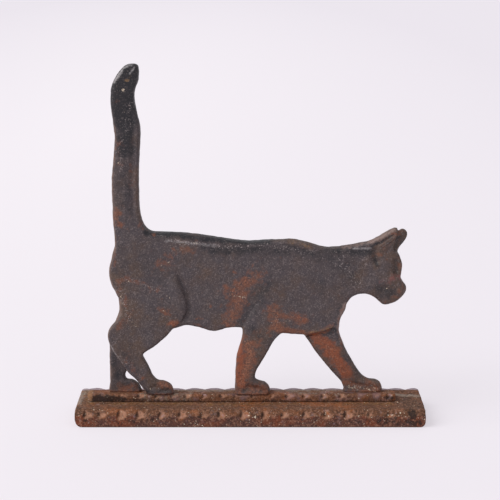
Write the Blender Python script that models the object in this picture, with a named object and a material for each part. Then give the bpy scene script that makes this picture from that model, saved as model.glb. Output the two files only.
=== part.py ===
"""Cast iron doorstop: a walking cat with its tail raised, on a notched foot strip and base slab.

Three grey-iron sand castings are held together by slotted countersunk screws, which go up from
under the slab, through the foot strip and into the paws. X runs along the slab towards the cat's
head, Y goes away from the viewer, Z is up. The origin is the middle of the slab's underside.
"""

import math

import bmesh
import bpy
import numpy as np
from mathutils.geometry import delaunay_2d_cdt

MM = 0.001

# Base slab
SLAB_DEPTH = 52.4 * MM
SLAB_HEIGHT = 11.4 * MM
SLAB_BEHIND = 6.5 * MM  # slab beyond the foot strip, under the tail
SLAB_AHEAD = 18.0 * MM  # slab beyond the foot strip, under the head
SLAB_CHAMFER = 3.0 * MM
SLAB_ROUNDING = 3.0 * MM  # the ends' corners, all round
SLAB_FOOT_CHAMFER = 0.75 * MM

# Foot strip
STRIP_WIDTH = 12.7 * MM
STRIP_HEIGHT = 4.8 * MM
STRIP_BEHIND = 15.3 * MM  # strip beyond the rearmost paw
STRIP_AHEAD = 9.0 * MM  # strip beyond the foremost paw
STRIP_CHAMFER = 1.2 * MM
STRIP_ROUNDING = 1.0 * MM
STRIP_FOOT_CHAMFER = 0.3 * MM

# Chisel notches along the upper long edges, steep on the tail side and gentle on the head side
SLAB_NOTCH = {"width": 8.6 * MM, "inward": 4.2 * MM, "down": 6.3 * MM}
STRIP_NOTCH = {"width": 6.0 * MM, "inward": 2.1 * MM, "down": 3.5 * MM}
SLAB_FRONT_PITCH = 13.5 * MM
SLAB_REAR_PITCH = 12.5 * MM
STRIP_PITCH = 11.6 * MM
NOTCH_STEEP_SHARE = 0.24  # of the notch's width, taken by its steep wall
NOTCH_WANDER = 0.5 * MM  # the notches are set out by eye
NOTCH_END_MARGIN = 6.0 * MM
CHISEL_RUNOUT = 3.0 * MM  # how far a cutter passes the faces that it cuts

# Cat
FIGURE_HEIGHT = 219.0 * MM  # soles to tail tip
FIGURE_THICKNESS = 12.0 * MM
BODY_CROWN = 0.9 * MM  # how much fuller the body is in its middle than near its edge
EDGE_ROUNDING = 3.4 * MM
LIMB_ROUNDING = 2.4 * MM
EAR_ROUNDING = 2.0 * MM
EAR_THINNING = 0.35  # of an ear's half thickness, at its tip
TAIL_THINNING = 0.22  # of the body's half thickness, at the tail's tip
MUZZLE_THINNING = 0.16  # of the body's half thickness, at the nose
MUSCLE_LIFT = 0.8 * MM  # thigh and shoulder, above the flank
MIDDLE_OVERLAP = 0.25 * MM  # how far a near and a far limb each pass the middle plane
LIMB_SINK = 0.34  # of a limb's half thickness, where its upper end is lost in the flank
CHEST_FORWARD = 1.3  # of a limb's half thickness, by which the far foreleg comes forward at the chest
LIMB_HALF = FIGURE_THICKNESS / 4 + MIDDLE_OVERLAP
LIMB_MIDDLE = FIGURE_THICKNESS / 4 - MIDDLE_OVERLAP / 2
SOLE_STOCK = 20.0 * MM  # cut away below the soles

# Screws, slotted and countersunk
SCREW_DIAMETER = 3.2 * MM
SCREW_HEAD = 6.2 * MM
SCREW_HEAD_HEIGHT = 1.7 * MM
SCREW_HEAD_RIM = 0.3 * MM  # the straight part of the head, below its cone
SCREW_POINT = 0.7 * MM  # chamfer at the tip
SCREW_SLOT = {"width": 0.8 * MM, "depth": 0.8 * MM}
SCREW_SUNK = 0.6 * MM  # from the slab's underside to the head
SCREW_BITE = 5.5 * MM  # how far the tip goes into the paw

SEAT_GAP = 0.3 * MM  # between faces that rest on each other, and round the screws

# The pattern's outlines, in millimetres from the soles up and from the middle of the slab
PATTERN_HEIGHT = 219.0
PATTERN_REAR_PAW = -93.5
PATTERN_FORE_PAW = 88.0
PATTERN_SCALE = FIGURE_HEIGHT / PATTERN_HEIGHT  # metres for each millimetre of the pattern

BODY = [
    (-73, 218.7), (-71.3, 214.7), (-72, 208.5), (-74.5, 200.5), (-74.5, 194), (-73, 187),
    (-71.3, 180), (-71, 172), (-71.7, 161.5), (-72.4, 148.5), (-72.5, 135.5), (-72.3, 124.5),
    (-71, 118), (-68.7, 112.2), (-64, 109.2), (-57, 108.7), (-47, 108.2), (-35.5, 107.3),
    (-23.5, 105.5), (-10, 103.8), (0, 102.8), (13, 103.7), (27.5, 103.9), (34, 102.7), (41.5, 100.8),
    (49, 98.9), (58, 99.3), (67, 100.4), (77.5, 102.3), (88, 101.5), (96.3, 95.7), (98.6, 91.4),
    (99.8, 87), (99, 79), (100.3, 75.8), (102.8, 71.5), (101, 67), (96.5, 63), (91.7, 61.2),
    (87.5, 60.7), (82.5, 64.5), (78.5, 67), (73.5, 67.5), (68, 66), (64.3, 62), (59.8, 53.7),
    (55, 43.5), (45, 39.5), (34.5, 39.6), (24, 40.7), (8, 42), (-5.5, 44.6), (-14.5, 44.5),
    (-24, 42.3), (-33, 44.6), (-42.5, 46.4), (-52, 44), (-66.5, 45.5), (-79.5, 49.5), (-86.2, 55.5),
    (-85.4, 61), (-88.4, 67.5), (-91.8, 75), (-93.1, 82), (-91.6, 90.5), (-89.1, 100), (-89.3, 110),
    (-90, 122), (-90.2, 135.5), (-89.8, 148.5), (-88.2, 163), (-87.7, 172), (-88.7, 182.5),
    (-89.9, 192), (-89.9, 199.5), (-89.1, 205), (-86.8, 210), (-83.5, 214.8), (-78.8, 218.6),
]
NEAR_HIND_LEG = [
    (-85.6, 63.5), (-85.7, 55.5), (-88.2, 50.2), (-92.3, 45.7), (-94.4, 41.1), (-93.9, 35.4), (-91.2, 29.3),
    (-85.7, 20.9), (-81.2, 14.3), (-75.5, 9), (-72, 4), (-68.5, 0), (-65.5, -1), (-56, -1),
    (-51.4, 0), (-51.4, 3), (-53.2, 6.2), (-57.1, 8.1), (-61.7, 8.8), (-64.6, 11.4), (-67.6, 18.4),
    (-70, 23), (-71.3, 26.4), (-68.7, 28.8), (-61.9, 33.7), (-55.6, 39.2), (-50, 45.6), (-44, 50),
    (-41, 55.5), (-41, 63), (-43.5, 70.5), (-46.5, 77), (-52, 84.5), (-62.5, 89), (-74, 88),
    (-83, 80),
]
FAR_HIND_LEG = [
    (-93.6, 40), (-93.9, 31), (-94, 23.5), (-93.7, 15.5), (-93.7, 7), (-93.5, -0.5), (-83, -1),
    (-73.5, -0.5), (-73.5, 2.5), (-75, 5), (-78.5, 7.3), (-82.5, 7.9), (-83.6, 9.8), (-82.5, 14),
    (-77.5, 21), (-72.5, 29), (-66, 37), (-57, 46), (-50, 54), (-48, 62), (-50, 72), (-56, 82),
    (-66, 88), (-77, 86), (-85.5, 77), (-87.3, 66), (-86.6, 56), (-89.2, 49),
]
NEAR_FORELEG = [
    (-4.5, 46.5), (-5.5, 39), (-7.5, 32), (-9.2, 26), (-9.9, 18.5), (-10.2, 9.5), (-10.4, 2.5),
    (-8.4, -1), (1.5, -1.5), (10, -1), (12.8, 1), (12.2, 4.8), (9.7, 7.4), (5.9, 8.5), (3.2, 10.2),
    (3.8, 15), (6.9, 20.6), (11.1, 28.2), (15.2, 35.6), (19.8, 40.7), (26.5, 44.8), (31, 52.5),
    (31.5, 63), (26.5, 71), (18, 73.5), (10, 69.5), (2.5, 59.5),
]
FAR_FORELEG = [
    (63.3, 59), (59.7, 51.2), (58.8, 43), (60.8, 36), (63.5, 29.3), (67.3, 21.9), (70.9, 15.9),
    (74.3, 11.2), (78.4, 8.3), (84, 7.5), (87, 5), (88, 1.5), (86, -1), (74, -1.5), (63.6, -1),
    (62.1, 3), (60, 7.2), (54.9, 12.6), (49.4, 19.5), (43.8, 26.8), (39.5, 33.5), (35.5, 39),
    (32.5, 46), (31, 56), (33, 68), (40, 78), (50, 81), (58, 76), (62.8, 68),
]
NEAR_EAR = [
    (76, 99), (80, 103.5), (85, 106.5), (90, 109.5), (95, 112), (96.5, 110.5), (96, 107),
    (94, 102), (92.5, 96), (86.5, 93), (80, 94.5),
]
FAR_EAR = [
    (92, 103), (95, 106.7), (97.3, 109.3), (100, 110.7), (102.5, 109), (103, 106.5),
    (101.9, 103.5), (99.2, 100.1), (97, 96.8), (95.5, 92), (91, 93.5),
]

# What makes the body's faces fuller or hollower: centre, radius, and share of the half thickness
BODY_FORMS = {
    "ribs": ((10, 76), (34, 18), 0.06),
    "loin": ((-36, 62), (9, 16), -0.07),
    "neck": ((73, 84), (6, 14), -0.07),
    "cheek": ((87, 78), (7, 8), 0.07),
    "brow": ((95, 91), (4.5, 3.5), 0.05),
    "eye_socket": ((94.5, 84.5), (3, 2.6), -0.09),
    "muzzle": ((98, 71), (4.5, 4.5), 0.09),
    "mouth_corner": ((92, 71), (2.4, 3.2), -0.07),
}

# Each limb: outline, side (-1 near the viewer, 1 far), its muscle's centre and radius, and the
# two points between which its upper end sinks into the flank
LIMBS = {
    "near_hind_leg": (NEAR_HIND_LEG, -1, (-54, 62), (15, 20), (-58, 66), (-70, 88)),
    "far_hind_leg": (FAR_HIND_LEG, 1, (-62, 62), (15, 20), (-66, 66), (-76, 86)),
    "near_foreleg": (NEAR_FORELEG, -1, (10, 52), (12, 18), (12, 52), (27, 66)),
    "far_foreleg": (FAR_FORELEG, 1, (46, 54), (12, 18), (46, 56), (52, 80)),
}
# Each ear: outline, and its middle plane and thickness as shares of the figure's thickness
EARS = {"near_ear": (NEAR_EAR, -0.12, 0.6), "far_ear": (FAR_EAR, 0.18, 0.46)}
CHEST_FROM = (45, 15)  # the far foreleg's near face comes forward from here
CHEST_TO = (60, 48)  # and has come all the way here
TAIL_ROOT = 105  # height at which the tail starts to thin
MUZZLE_ROOT = 92  # distance along at which the muzzle starts to thin
NOSE = 104
EAR_ROOT = 98
EAR_TIP = 112

# Where a screw enters a paw: distance along the pattern, and -1 for a near limb or 1 for a far one
SCREWS = {
    "screw_near_hind_paw": (-61.0, -1),
    "screw_near_fore_paw": (1.0, -1),
    "screw_far_fore_paw": (74.0, 1),
}

OUTLINE_STEP = 3.1  # millimetres between points of an outline
FACE_STEP = 7.5  # millimetres between points on a face, away from its edges
HEAD_STEP = 3.4  # the same on the head, within HEAD_RADIUS of HEAD_CENTRE
HEAD_CENTRE = (91, 80)
HEAD_RADIUS = 17
RING_DEPTHS = (0.22, 0.62, 1.0)  # of the rounding, where its rings of points lie


def clear_scene():
    for obj in list(bpy.data.objects):
        bpy.data.objects.remove(obj)


def material(name, colour, roughness, metallic):
    """A Principled BSDF material with this linear colour."""
    made = bpy.data.materials.new(name)
    made.use_nodes = True
    shader = made.node_tree.nodes["Principled BSDF"]
    shader.inputs["Base Color"].default_value = (*colour, 1.0)
    shader.inputs["Roughness"].default_value = roughness
    shader.inputs["Metallic"].default_value = metallic
    return made


def mesh_object(name, verts, faces, finish=None):
    """An object from points and faces, its normals turned outwards."""
    mesh = bpy.data.meshes.new(name)
    mesh.from_pydata([tuple(v) for v in verts], [], [tuple(f) for f in faces])
    shape = bmesh.new()
    shape.from_mesh(mesh)
    bmesh.ops.recalc_face_normals(shape, faces=shape.faces)
    shape.to_mesh(mesh)
    shape.free()
    obj = bpy.data.objects.new(name, mesh)
    bpy.context.scene.collection.objects.link(obj)
    if finish:
        mesh.materials.append(finish)
    return obj


def hide_tool(obj):
    """Marks a cutter or a blank that only shapes another object."""
    obj.hide_render = True
    obj.display_type = "WIRE"


def combine(target, tool, operation):
    """Unites or cuts target with tool, as a live Boolean."""
    hide_tool(tool)
    modifier = target.modifiers.new(f"{operation.lower()}_{tool.name}", "BOOLEAN")
    modifier.operation = operation
    modifier.solver = "EXACT"
    modifier.object = tool


# Base slab and foot strip


def block(name, low, high):
    """A box between two corners."""
    verts = [(x, y, z) for x in (low[0], high[0]) for y in (low[1], high[1]) for z in (low[2], high[2])]
    faces = [(0, 1, 3, 2), (4, 6, 7, 5), (0, 4, 5, 1), (2, 3, 7, 6), (0, 2, 6, 4), (1, 5, 7, 3)]
    return mesh_object(name, verts, faces)


def notched_bar(name, length, width, height, chamfer, foot, rounding, finish):
    """A bar lofted along X: a section with chamfered upper edges, drawn in round both ends."""
    half = width / 2
    section = [
        (-half + foot, 0), (-half, foot), (-half, height - chamfer), (-half + chamfer, height),
        (half - chamfer, height), (half, height - chamfer), (half, foot), (half - foot, 0),
    ]
    # Each station: distance from the bar's end, and how far the section is drawn in there
    angles = np.radians([0, 22.5, 45, 67.5, 90])
    stations = [(rounding * (1 - math.sin(a)), rounding * (1 - math.cos(a))) for a in angles[::-1]]
    ends = [(-length / 2 + x, inset) for x, inset in stations]
    ends += [(length / 2 - x, inset) for x, inset in stations[::-1]]
    verts = []
    for x, inset in ends:
        across = 1 - inset / half
        upright = 1 - 2 * inset / height
        verts += [(x, y * across, height / 2 + (z - height / 2) * upright) for y, z in section]
    count = len(section)
    faces = [range(count), range(len(verts) - count, len(verts))]
    for ring in range(len(ends) - 1):
        for k in range(count):
            a, b = ring * count + k, ring * count + (k + 1) % count
            faces.append((a, b, b + count, a + count))
    return mesh_object(name, verts, faces, finish)


def chisel_row(name, length, pitch, side, edge, top, notch):
    """Wedge cutters across one upper edge, at side -1 in front or 1 behind.

    The bottom line of each notch runs from the top face, `inward` from the edge, to the side
    face, `down` from the top. The wedge's section is a triangle with its point on that line.
    """
    count = int((length - 2 * NOTCH_END_MARGIN) / pitch) + 1
    inward, down = notch["inward"], notch["down"]
    run = math.hypot(inward, down)
    along = np.array([0, side * inward / run, -down / run])  # down the notch, outwards
    out = np.array([0, side * down / run, inward / run])  # square to it, away from the bar
    start = np.array([0, side * (edge - inward), top]) - along * CHISEL_RUNOUT
    end = np.array([0, side * edge, top - down]) + along * CHISEL_RUNOUT
    depth = inward * down / run  # from the bar's sharp corner to the notch's bottom line
    reach = depth + CHISEL_RUNOUT
    grow = reach / depth
    steep = -notch["width"] * NOTCH_STEEP_SHARE * grow
    gentle = notch["width"] * (1 - NOTCH_STEEP_SHARE) * grow
    verts, faces = [], []
    for k in range(count):
        x = (k - (count - 1) / 2) * pitch + NOTCH_WANDER * math.sin(2.4 * k + side)
        first = len(verts)
        for point in (start, end):
            for across, rise in ((0, 0), (gentle, reach), (steep, reach)):
                verts.append(point + out * rise + np.array([x + across, 0, 0]))
        faces += [(first, first + 1, first + 2), (first + 3, first + 5, first + 4)]
        for a, b in ((0, 1), (1, 2), (2, 0)):
            faces.append((first + a, first + b, first + 3 + b, first + 3 + a))
    return mesh_object(name, verts, faces)


# Cat


def smooth_loop(points, step):
    """Evenly spaced points, about step apart, on a smooth closed curve through the given ones."""
    knots = np.array(points, float)
    before, after, beyond = (np.roll(knots, shift, axis=0) for shift in (1, -1, -2))
    t = np.linspace(0, 1, 12, endpoint=False)[None, :, None]
    a, b, c, d = (p[:, None, :] for p in (before, knots, after, beyond))
    curve = 0.5 * (
        2 * b + (c - a) * t + (2 * a - 5 * b + 4 * c - d) * t**2 + (3 * b - a - 3 * c + d) * t**3
    )
    curve = curve.reshape(-1, 2)
    closed = np.vstack([curve, curve[:1]])
    travelled = np.concatenate([[0], np.cumsum(np.linalg.norm(np.diff(closed, axis=0), axis=1))])
    count = int(round(travelled[-1] / step))
    at = np.linspace(0, travelled[-1], count, endpoint=False)
    return np.stack([np.interp(at, travelled, closed[:, axis]) for axis in (0, 1)], axis=1)


def distance_to(loop, points):
    """The distance from each point to the closed loop."""
    start, end = loop, np.roll(loop, -1, axis=0)
    side = end - start
    offset = points[:, None, :] - start[None]
    share = np.clip((offset * side).sum(2) / (side**2).sum(1), 0, 1)
    return np.linalg.norm(offset - share[..., None] * side, axis=2).min(axis=1)


def inside(loop, points):
    """Whether each point lies within the closed loop, by counting crossings to its right."""
    x0, z0 = loop.T
    x1, z1 = np.roll(loop, -1, axis=0).T
    x, z = points[:, :1], points[:, 1:]
    spans = (z0 > z) != (z1 > z)
    crossing = x0 + (z - z0) / np.where(z1 == z0, 1, z1 - z0) * (x1 - x0)
    return ((spans & (x < crossing)).sum(axis=1) % 2) == 1


def triangular_field(low, high, step):
    """Points step apart, in rows of which each is shifted by half a step from the last."""
    rows = np.arange(low[1], high[1], step * math.sqrt(0.75))
    columns = np.arange(low[0], high[0], step)
    return np.array([(x + (k % 2) * step / 2, z) for k, z in enumerate(rows) for x in columns])


def face_points(loop, rounding):
    """Points within the loop: rings that follow its rounding, then an even triangular field."""
    tangent = np.roll(loop, -1, axis=0) - np.roll(loop, 1, axis=0)
    inward = np.stack([-tangent[:, 1], tangent[:, 0]], axis=1)
    inward /= np.linalg.norm(inward, axis=1, keepdims=True)
    area = 0.5 * (loop[:, 0] * np.roll(loop[:, 1], -1) - np.roll(loop[:, 0], -1) * loop[:, 1]).sum()
    inward *= np.sign(area)
    kept = []
    for depth in RING_DEPTHS:
        ring = loop + inward * rounding * depth
        near = distance_to(loop, ring)
        ring = ring[inside(loop, ring) & (near > 0.94 * rounding * depth)]
        kept.append(ring)
    for step, on_head in ((FACE_STEP, False), (HEAD_STEP, True)):
        field = triangular_field(loop.min(axis=0), loop.max(axis=0), step)
        from_head = np.linalg.norm(field - HEAD_CENTRE, axis=1)
        field = field[(from_head < HEAD_RADIUS) == on_head]
        field = field[inside(loop, field)]
        kept.append(field[distance_to(loop, field) > rounding + 0.45 * step])
    return np.vstack(kept)


def swell(points, centre, radius):
    """A smooth mound, 1 at its centre and fading out at about twice the radius."""
    away = ((points - np.array(centre)) / np.array(radius)) ** 2
    return np.exp(-away.sum(axis=1))


def cast_mass(name, outline, middle, half, crown, rounding, shaping, finish=None, forward=None):
    """One mass of the figure: its outline swollen to both sides of a middle plane.

    Across its rounding the face rises from the outline as a quarter of an ellipse, and then
    by the crown towards its middle. shaping gives each point's share of the half thickness,
    and forward multiplies it on the near face.
    """
    loop = smooth_loop(outline, OUTLINE_STEP)
    flat = np.vstack([loop, face_points(loop, rounding / PATTERN_SCALE)])
    border = list(range(len(loop)))
    corners, _, triangles, *_ = delaunay_2d_cdt(
        [tuple(p) for p in flat], [], [border], 1, 1e-6
    )
    flat = np.array([tuple(p) for p in corners])
    depth = distance_to(loop, flat) * PATTERN_SCALE
    rise = np.sqrt(np.clip(1 - (1 - np.clip(depth / rounding, 0, 1)) ** 2, 0, 1))
    rise *= half + crown * (1 - np.exp(-depth / (2 * rounding)))
    rise *= shaping(flat)
    on_edge = depth < 1e-7
    place = flat * PATTERN_SCALE
    near_rise = rise * forward(flat) if forward else rise
    front = np.column_stack([place[:, 0], middle - near_rise, place[:, 1]])
    back = np.column_stack([place[:, 0], middle + rise, place[:, 1]])
    back_index = np.arange(len(flat))
    back_index[~on_edge] = len(flat) + np.arange((~on_edge).sum())
    verts = np.vstack([front, back[~on_edge]])
    faces = [tuple(t) for t in triangles]
    faces += [tuple(int(back_index[i]) for i in t[::-1]) for t in triangles]
    return mesh_object(name, verts, faces, finish)


def share_along(values, start, end):
    """0 at the start, 1 at the end, and held there beyond."""
    return np.clip((values - start) / (end - start), 0, 1)


def body_shaping(points):
    """The body's forms, on a body that thins towards the tail's tip and the nose."""
    along, up = points.T
    thinning = TAIL_THINNING * share_along(up, TAIL_ROOT, PATTERN_HEIGHT)
    thinning += MUZZLE_THINNING * share_along(along, MUZZLE_ROOT, NOSE)
    forms = sum(share * swell(points, centre, radius) for centre, radius, share in BODY_FORMS.values())
    return 1 - thinning + forms


def limb_shaping(muscle, size, lift, sink_from, sink_to):
    """A limb that swells by lift at its muscle, and sinks into the flank between two points."""
    start, end = np.array(sink_from, float), np.array(sink_to, float)
    course = end - start

    def shaped(points):
        along = (points - start) @ course / (course @ course)
        return 1 + lift * swell(points, muscle, size) - LIMB_SINK * np.clip(along, 0, 1)

    return shaped


def chest_forward(points):
    """How much further than its own thickness the far foreleg's near face stands, up to the chest."""
    start = np.array(CHEST_FROM, float)
    course = np.array(CHEST_TO, float) - start
    return 1 + CHEST_FORWARD * np.clip((points - start) @ course / (course @ course), 0, 1) ** 1.5


def ear_shaping(points):
    """An ear thins towards its tip."""
    return 1 - EAR_THINNING * share_along(points[:, 1], EAR_ROOT, EAR_TIP)


def cat_figure(finish, soles):
    """The figure: body, limbs and ears joined into one casting, its soles cut flat."""
    figure = cast_mass(
        "cat_figure", BODY, 0, FIGURE_THICKNESS / 2 - BODY_CROWN, BODY_CROWN, EDGE_ROUNDING,
        body_shaping, finish,
    )
    figure.location = soles
    lift = MUSCLE_LIFT / LIMB_HALF
    masses = []
    for name, (outline, side, muscle, size, sink_from, sink_to) in LIMBS.items():
        shaping = limb_shaping(muscle, size, lift, sink_from, sink_to)
        middle = side * LIMB_MIDDLE
        forward = chest_forward if name == "far_foreleg" else None
        masses.append(
            cast_mass(name, outline, middle, LIMB_HALF, 0, LIMB_ROUNDING, shaping, forward=forward)
        )
    for name, (outline, middle, thickness) in EARS.items():
        middle, half = middle * FIGURE_THICKNESS, thickness * FIGURE_THICKNESS / 2
        masses.append(cast_mass(name, outline, middle, half, 0, EAR_ROUNDING, ear_shaping))
    for mass in masses:
        mass.parent = figure
        combine(figure, mass, "UNION")
    reach = FIGURE_HEIGHT
    sole_plane = block("sole_plane", (-reach, -reach, -SOLE_STOCK), (reach, reach, 0))
    sole_plane.parent = figure
    combine(figure, sole_plane, "DIFFERENCE")
    figure.data.shade_smooth()
    figure.data.set_sharp_from_angle(angle=math.radians(40))
    return figure


# Screws and their holes


def turned(name, profile, finish=None, sides=20):
    """A body of revolution about Z, from (radius, height) pairs given from bottom to top."""
    angles = np.arange(sides) * 2 * math.pi / sides
    verts, faces = [], []
    for radius, height in profile:
        verts += [(radius * math.cos(a), radius * math.sin(a), height) for a in angles]
    faces += [range(sides), range(len(verts) - sides, len(verts))]
    for ring in range(len(profile) - 1):
        for k in range(sides):
            a, b = ring * sides + k, ring * sides + (k + 1) % sides
            faces.append((a, b, b + sides, a + sides))
    return mesh_object(name, verts, faces, finish)


def screw_profile(length, gap, under):
    """The screw's outline, up from under its head, or with a gap all round it the hole's."""
    shank = SCREW_DIAMETER / 2
    head = SCREW_HEAD / 2
    narrowing = head - shank
    cone = SCREW_HEAD_HEIGHT - SCREW_HEAD_RIM
    mitre = gap * (math.hypot(narrowing, cone) - cone) / narrowing
    return [
        (head + gap, under),
        (head + gap, SCREW_HEAD_RIM + mitre),
        (shank + gap, SCREW_HEAD_HEIGHT + mitre),
        (shank + gap, length + gap - SCREW_POINT),
        (shank + gap - SCREW_POINT, length + gap),
    ]


def screw(name, place, length, finish):
    """A slotted countersunk screw, point up."""
    made = turned(name, screw_profile(length, 0, 0), finish)
    made.location = place
    wide, deep = SCREW_SLOT["width"] / 2, SCREW_SLOT["depth"]
    slot = block(f"{name}_slot", (-SCREW_HEAD, -wide, -deep), (SCREW_HEAD, wide, deep))
    slot.parent = made
    combine(made, slot, "DIFFERENCE")
    made.data.shade_smooth()
    made.data.set_sharp_from_angle(angle=math.radians(35))
    return made


def build():
    clear_scene()
    slab_iron = material("slab_iron", (0.117, 0.061, 0.036), 0.78, 0.15)
    strip_iron = material("strip_iron", (0.110, 0.060, 0.038), 0.76, 0.15)
    figure_iron = material("figure_iron", (0.078, 0.066, 0.064), 0.62, 0.2)
    screw_steel = material("screw_steel", (0.16, 0.13, 0.11), 0.5, 0.8)

    paw_span = (PATTERN_FORE_PAW - PATTERN_REAR_PAW) * PATTERN_SCALE
    strip_length = STRIP_BEHIND + paw_span + STRIP_AHEAD
    slab_length = SLAB_BEHIND + strip_length + SLAB_AHEAD
    strip_x = SLAB_BEHIND + strip_length / 2 - slab_length / 2
    strip_foot = SLAB_HEIGHT + SEAT_GAP
    soles_x = SLAB_BEHIND + STRIP_BEHIND - PATTERN_REAR_PAW * PATTERN_SCALE - slab_length / 2
    soles_z = strip_foot + STRIP_HEIGHT + SEAT_GAP

    slab = notched_bar(
        "base_slab", slab_length, SLAB_DEPTH, SLAB_HEIGHT, SLAB_CHAMFER, SLAB_FOOT_CHAMFER,
        SLAB_ROUNDING, slab_iron,
    )
    strip = notched_bar(
        "foot_strip", strip_length, STRIP_WIDTH, STRIP_HEIGHT, STRIP_CHAMFER, STRIP_FOOT_CHAMFER,
        STRIP_ROUNDING, strip_iron,
    )
    strip.location = (strip_x, 0, strip_foot)
    rows = (
        (slab, slab_length, SLAB_FRONT_PITCH, -1, SLAB_DEPTH / 2, SLAB_HEIGHT, SLAB_NOTCH),
        (slab, slab_length, SLAB_REAR_PITCH, 1, SLAB_DEPTH / 2, SLAB_HEIGHT, SLAB_NOTCH),
        (strip, strip_length, STRIP_PITCH, -1, STRIP_WIDTH / 2, STRIP_HEIGHT, STRIP_NOTCH),
        (strip, strip_length, STRIP_PITCH, 1, STRIP_WIDTH / 2, STRIP_HEIGHT, STRIP_NOTCH),
    )
    for bar, length, pitch, side, edge, top, notch in rows:
        where = "front" if side < 0 else "rear"
        row = chisel_row(f"{bar.name}_{where}_chisel", length, pitch, side, edge, top, notch)
        row.parent = bar
        combine(bar, row, "DIFFERENCE")

    figure = cat_figure(figure_iron, (soles_x, 0, soles_z))
    screw_length = soles_z + SCREW_BITE - SCREW_SUNK
    for name, (along, side) in SCREWS.items():
        place = (soles_x + along * PATTERN_SCALE, side * LIMB_MIDDLE, SCREW_SUNK)
        screw(name, place, screw_length, screw_steel)
        below = -SCREW_SUNK - CHISEL_RUNOUT
        hole = turned(f"{name}_hole", screw_profile(screw_length, SEAT_GAP, below))
        hole.location = place
        for piece in (slab, strip, figure):
            combine(piece, hole, "DIFFERENCE")


build()
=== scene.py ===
import math

import bpy
import numpy as np
from mathutils.geometry import delaunay_2d_cdt
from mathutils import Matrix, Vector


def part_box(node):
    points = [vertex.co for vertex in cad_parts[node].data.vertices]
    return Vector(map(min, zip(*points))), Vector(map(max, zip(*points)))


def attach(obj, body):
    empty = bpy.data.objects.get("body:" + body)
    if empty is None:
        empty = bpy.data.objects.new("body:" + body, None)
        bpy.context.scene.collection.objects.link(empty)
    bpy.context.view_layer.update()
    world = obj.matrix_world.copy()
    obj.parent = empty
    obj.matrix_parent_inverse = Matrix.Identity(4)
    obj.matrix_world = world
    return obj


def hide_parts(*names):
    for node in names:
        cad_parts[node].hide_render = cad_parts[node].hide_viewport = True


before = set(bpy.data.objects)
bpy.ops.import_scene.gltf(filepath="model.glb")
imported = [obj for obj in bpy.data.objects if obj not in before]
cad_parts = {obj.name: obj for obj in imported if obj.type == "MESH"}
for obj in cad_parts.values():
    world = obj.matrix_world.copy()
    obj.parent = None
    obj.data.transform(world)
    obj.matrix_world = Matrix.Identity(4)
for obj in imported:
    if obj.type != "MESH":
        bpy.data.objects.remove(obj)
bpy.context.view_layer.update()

# Base slab
# A bar of grey iron, sand-cast, with a flat underside and chamfered upper long edges. Its pattern was
# notched by eye along both edges, steep on the tail side. Damp has eaten its dark paint and left it
# pitted and rusty.

MM = 0.001
SLAB_FRONT_CHAMFER = 3.4
SLAB_REAR_SLOPE = {"width": 5.5, "drop": 0.2}  # the top falls away towards the rear edge
# How far the section's corners are rounded
SLAB_CORNERS = {"foot": 1.0, "front": 1.5, "rear": 0.4, "slope": 2.5}
# How far the ends are rounded, the tail end's and the head end's length and lower edge apart
SLAB_END = {"along": (4.8, 3.4), "front": 0.6, "rear": 2.6, "upper": 0.8, "lower": (5.2, 3.6)}
# Where each notch's steep wall stands, from the slab's middle, and its depth as a share
SLAB_FRONT_NOTCHES = [
    (-108.8, 1.02), (-99.5, 1.0), (-86.6, 1.12), (-74.3, 1.05), (-59.6, 0.95), (-46.9, 1.0), (-32.4, 0.9),
    (-21.1, 1.0), (-6.0, 1.05), (8.1, 1.0), (20.5, 0.9), (34.6, 0.95), (48.5, 1.0), (62.0, 1.05),
    (76.9, 0.86), (89.7, 0.88), (102.7, 0.7),
]
SLAB_REAR_NOTCHES = [(-110.1, 0.6), (-98.6, 1.0), (94.7, 0.5), (105.9, 1.1)]
SLAB_REAR_NOTCHES += [(-84.6 + 13.42 * k, 0.95 + 0.08 * math.sin(5 * k)) for k in range(13)]
# A notch's reach inwards and down, the runs of its steep and gentle sides, how far its wall leans over, how
# much it bites at the wall, and the powers that bend its gentle side: 1 - t^bend, all to the power of cusp
SLAB_FRONT_NOTCH = {
    "inward": 3.2, "down": 5.7, "steep": 3.2, "gentle": 8.6,
    "lean": 0.8, "blend": 0.55, "bite": 0.35, "bend": 2.8, "cusp": 1,
}
SLAB_REAR_NOTCH = {
    "inward": 4.0, "down": 5.0, "steep": 6.4, "gentle": 6.6,
    "lean": 0, "blend": 0.4, "bite": 0, "bend": 1, "cusp": 1.6,
}
SLAB_PITS = ((7.0, 0.26), (2.6, 0.20), (1.3, 0.14))  # size and height of the lumps
# On the slab's plan, with their points, width and strength: paint that is left, yellowish and bright rust,
# the shade by the strip, and dark rust
SLAB_GREY = [
    ([(98, 10.5), (103, 8.4), (113, 7.6)], 3.2, 1.2), ([(-112, 22), (-104, 14), (-104, -4)], 6, 0.9),
    ([(-114, 14), (-114, -10)], 3, 1.0),
]
SLAB_OCHRE = [
    ([(-92, -9.6), (-20, -10), (30, -9.8), (92, -10)], 3.6, 0.9), ([(-30, -13), (20, -13)], 5, 0.5),
    ([(-110, 16), (-106, -8)], 5, 0.9),
]
SLAB_ORANGE = [([(36, -8), (46, -12), (64, -17)], 6.5, 1.0), ([(40, -7.6), (50, -7.8)], 1.6, 1.2)]
SLAB_SHADE = [([(-108, -6.6), (98, -6.6)], 0.9, 0.45), ([(98, 5.4), (104, 3.2), (113, 3)], 1.3, 0.9)]
SLAB_DARK = [
    ([(-113, -16), (-113, -24)], 5, 0.9), ([(104, 0), (110, -22)], 10, 1.0),
    ([(100, 12), (110, 8)], 7, 0.5), ([(-60, -14), (-40, -16)], 6, 0.35),
]
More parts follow.
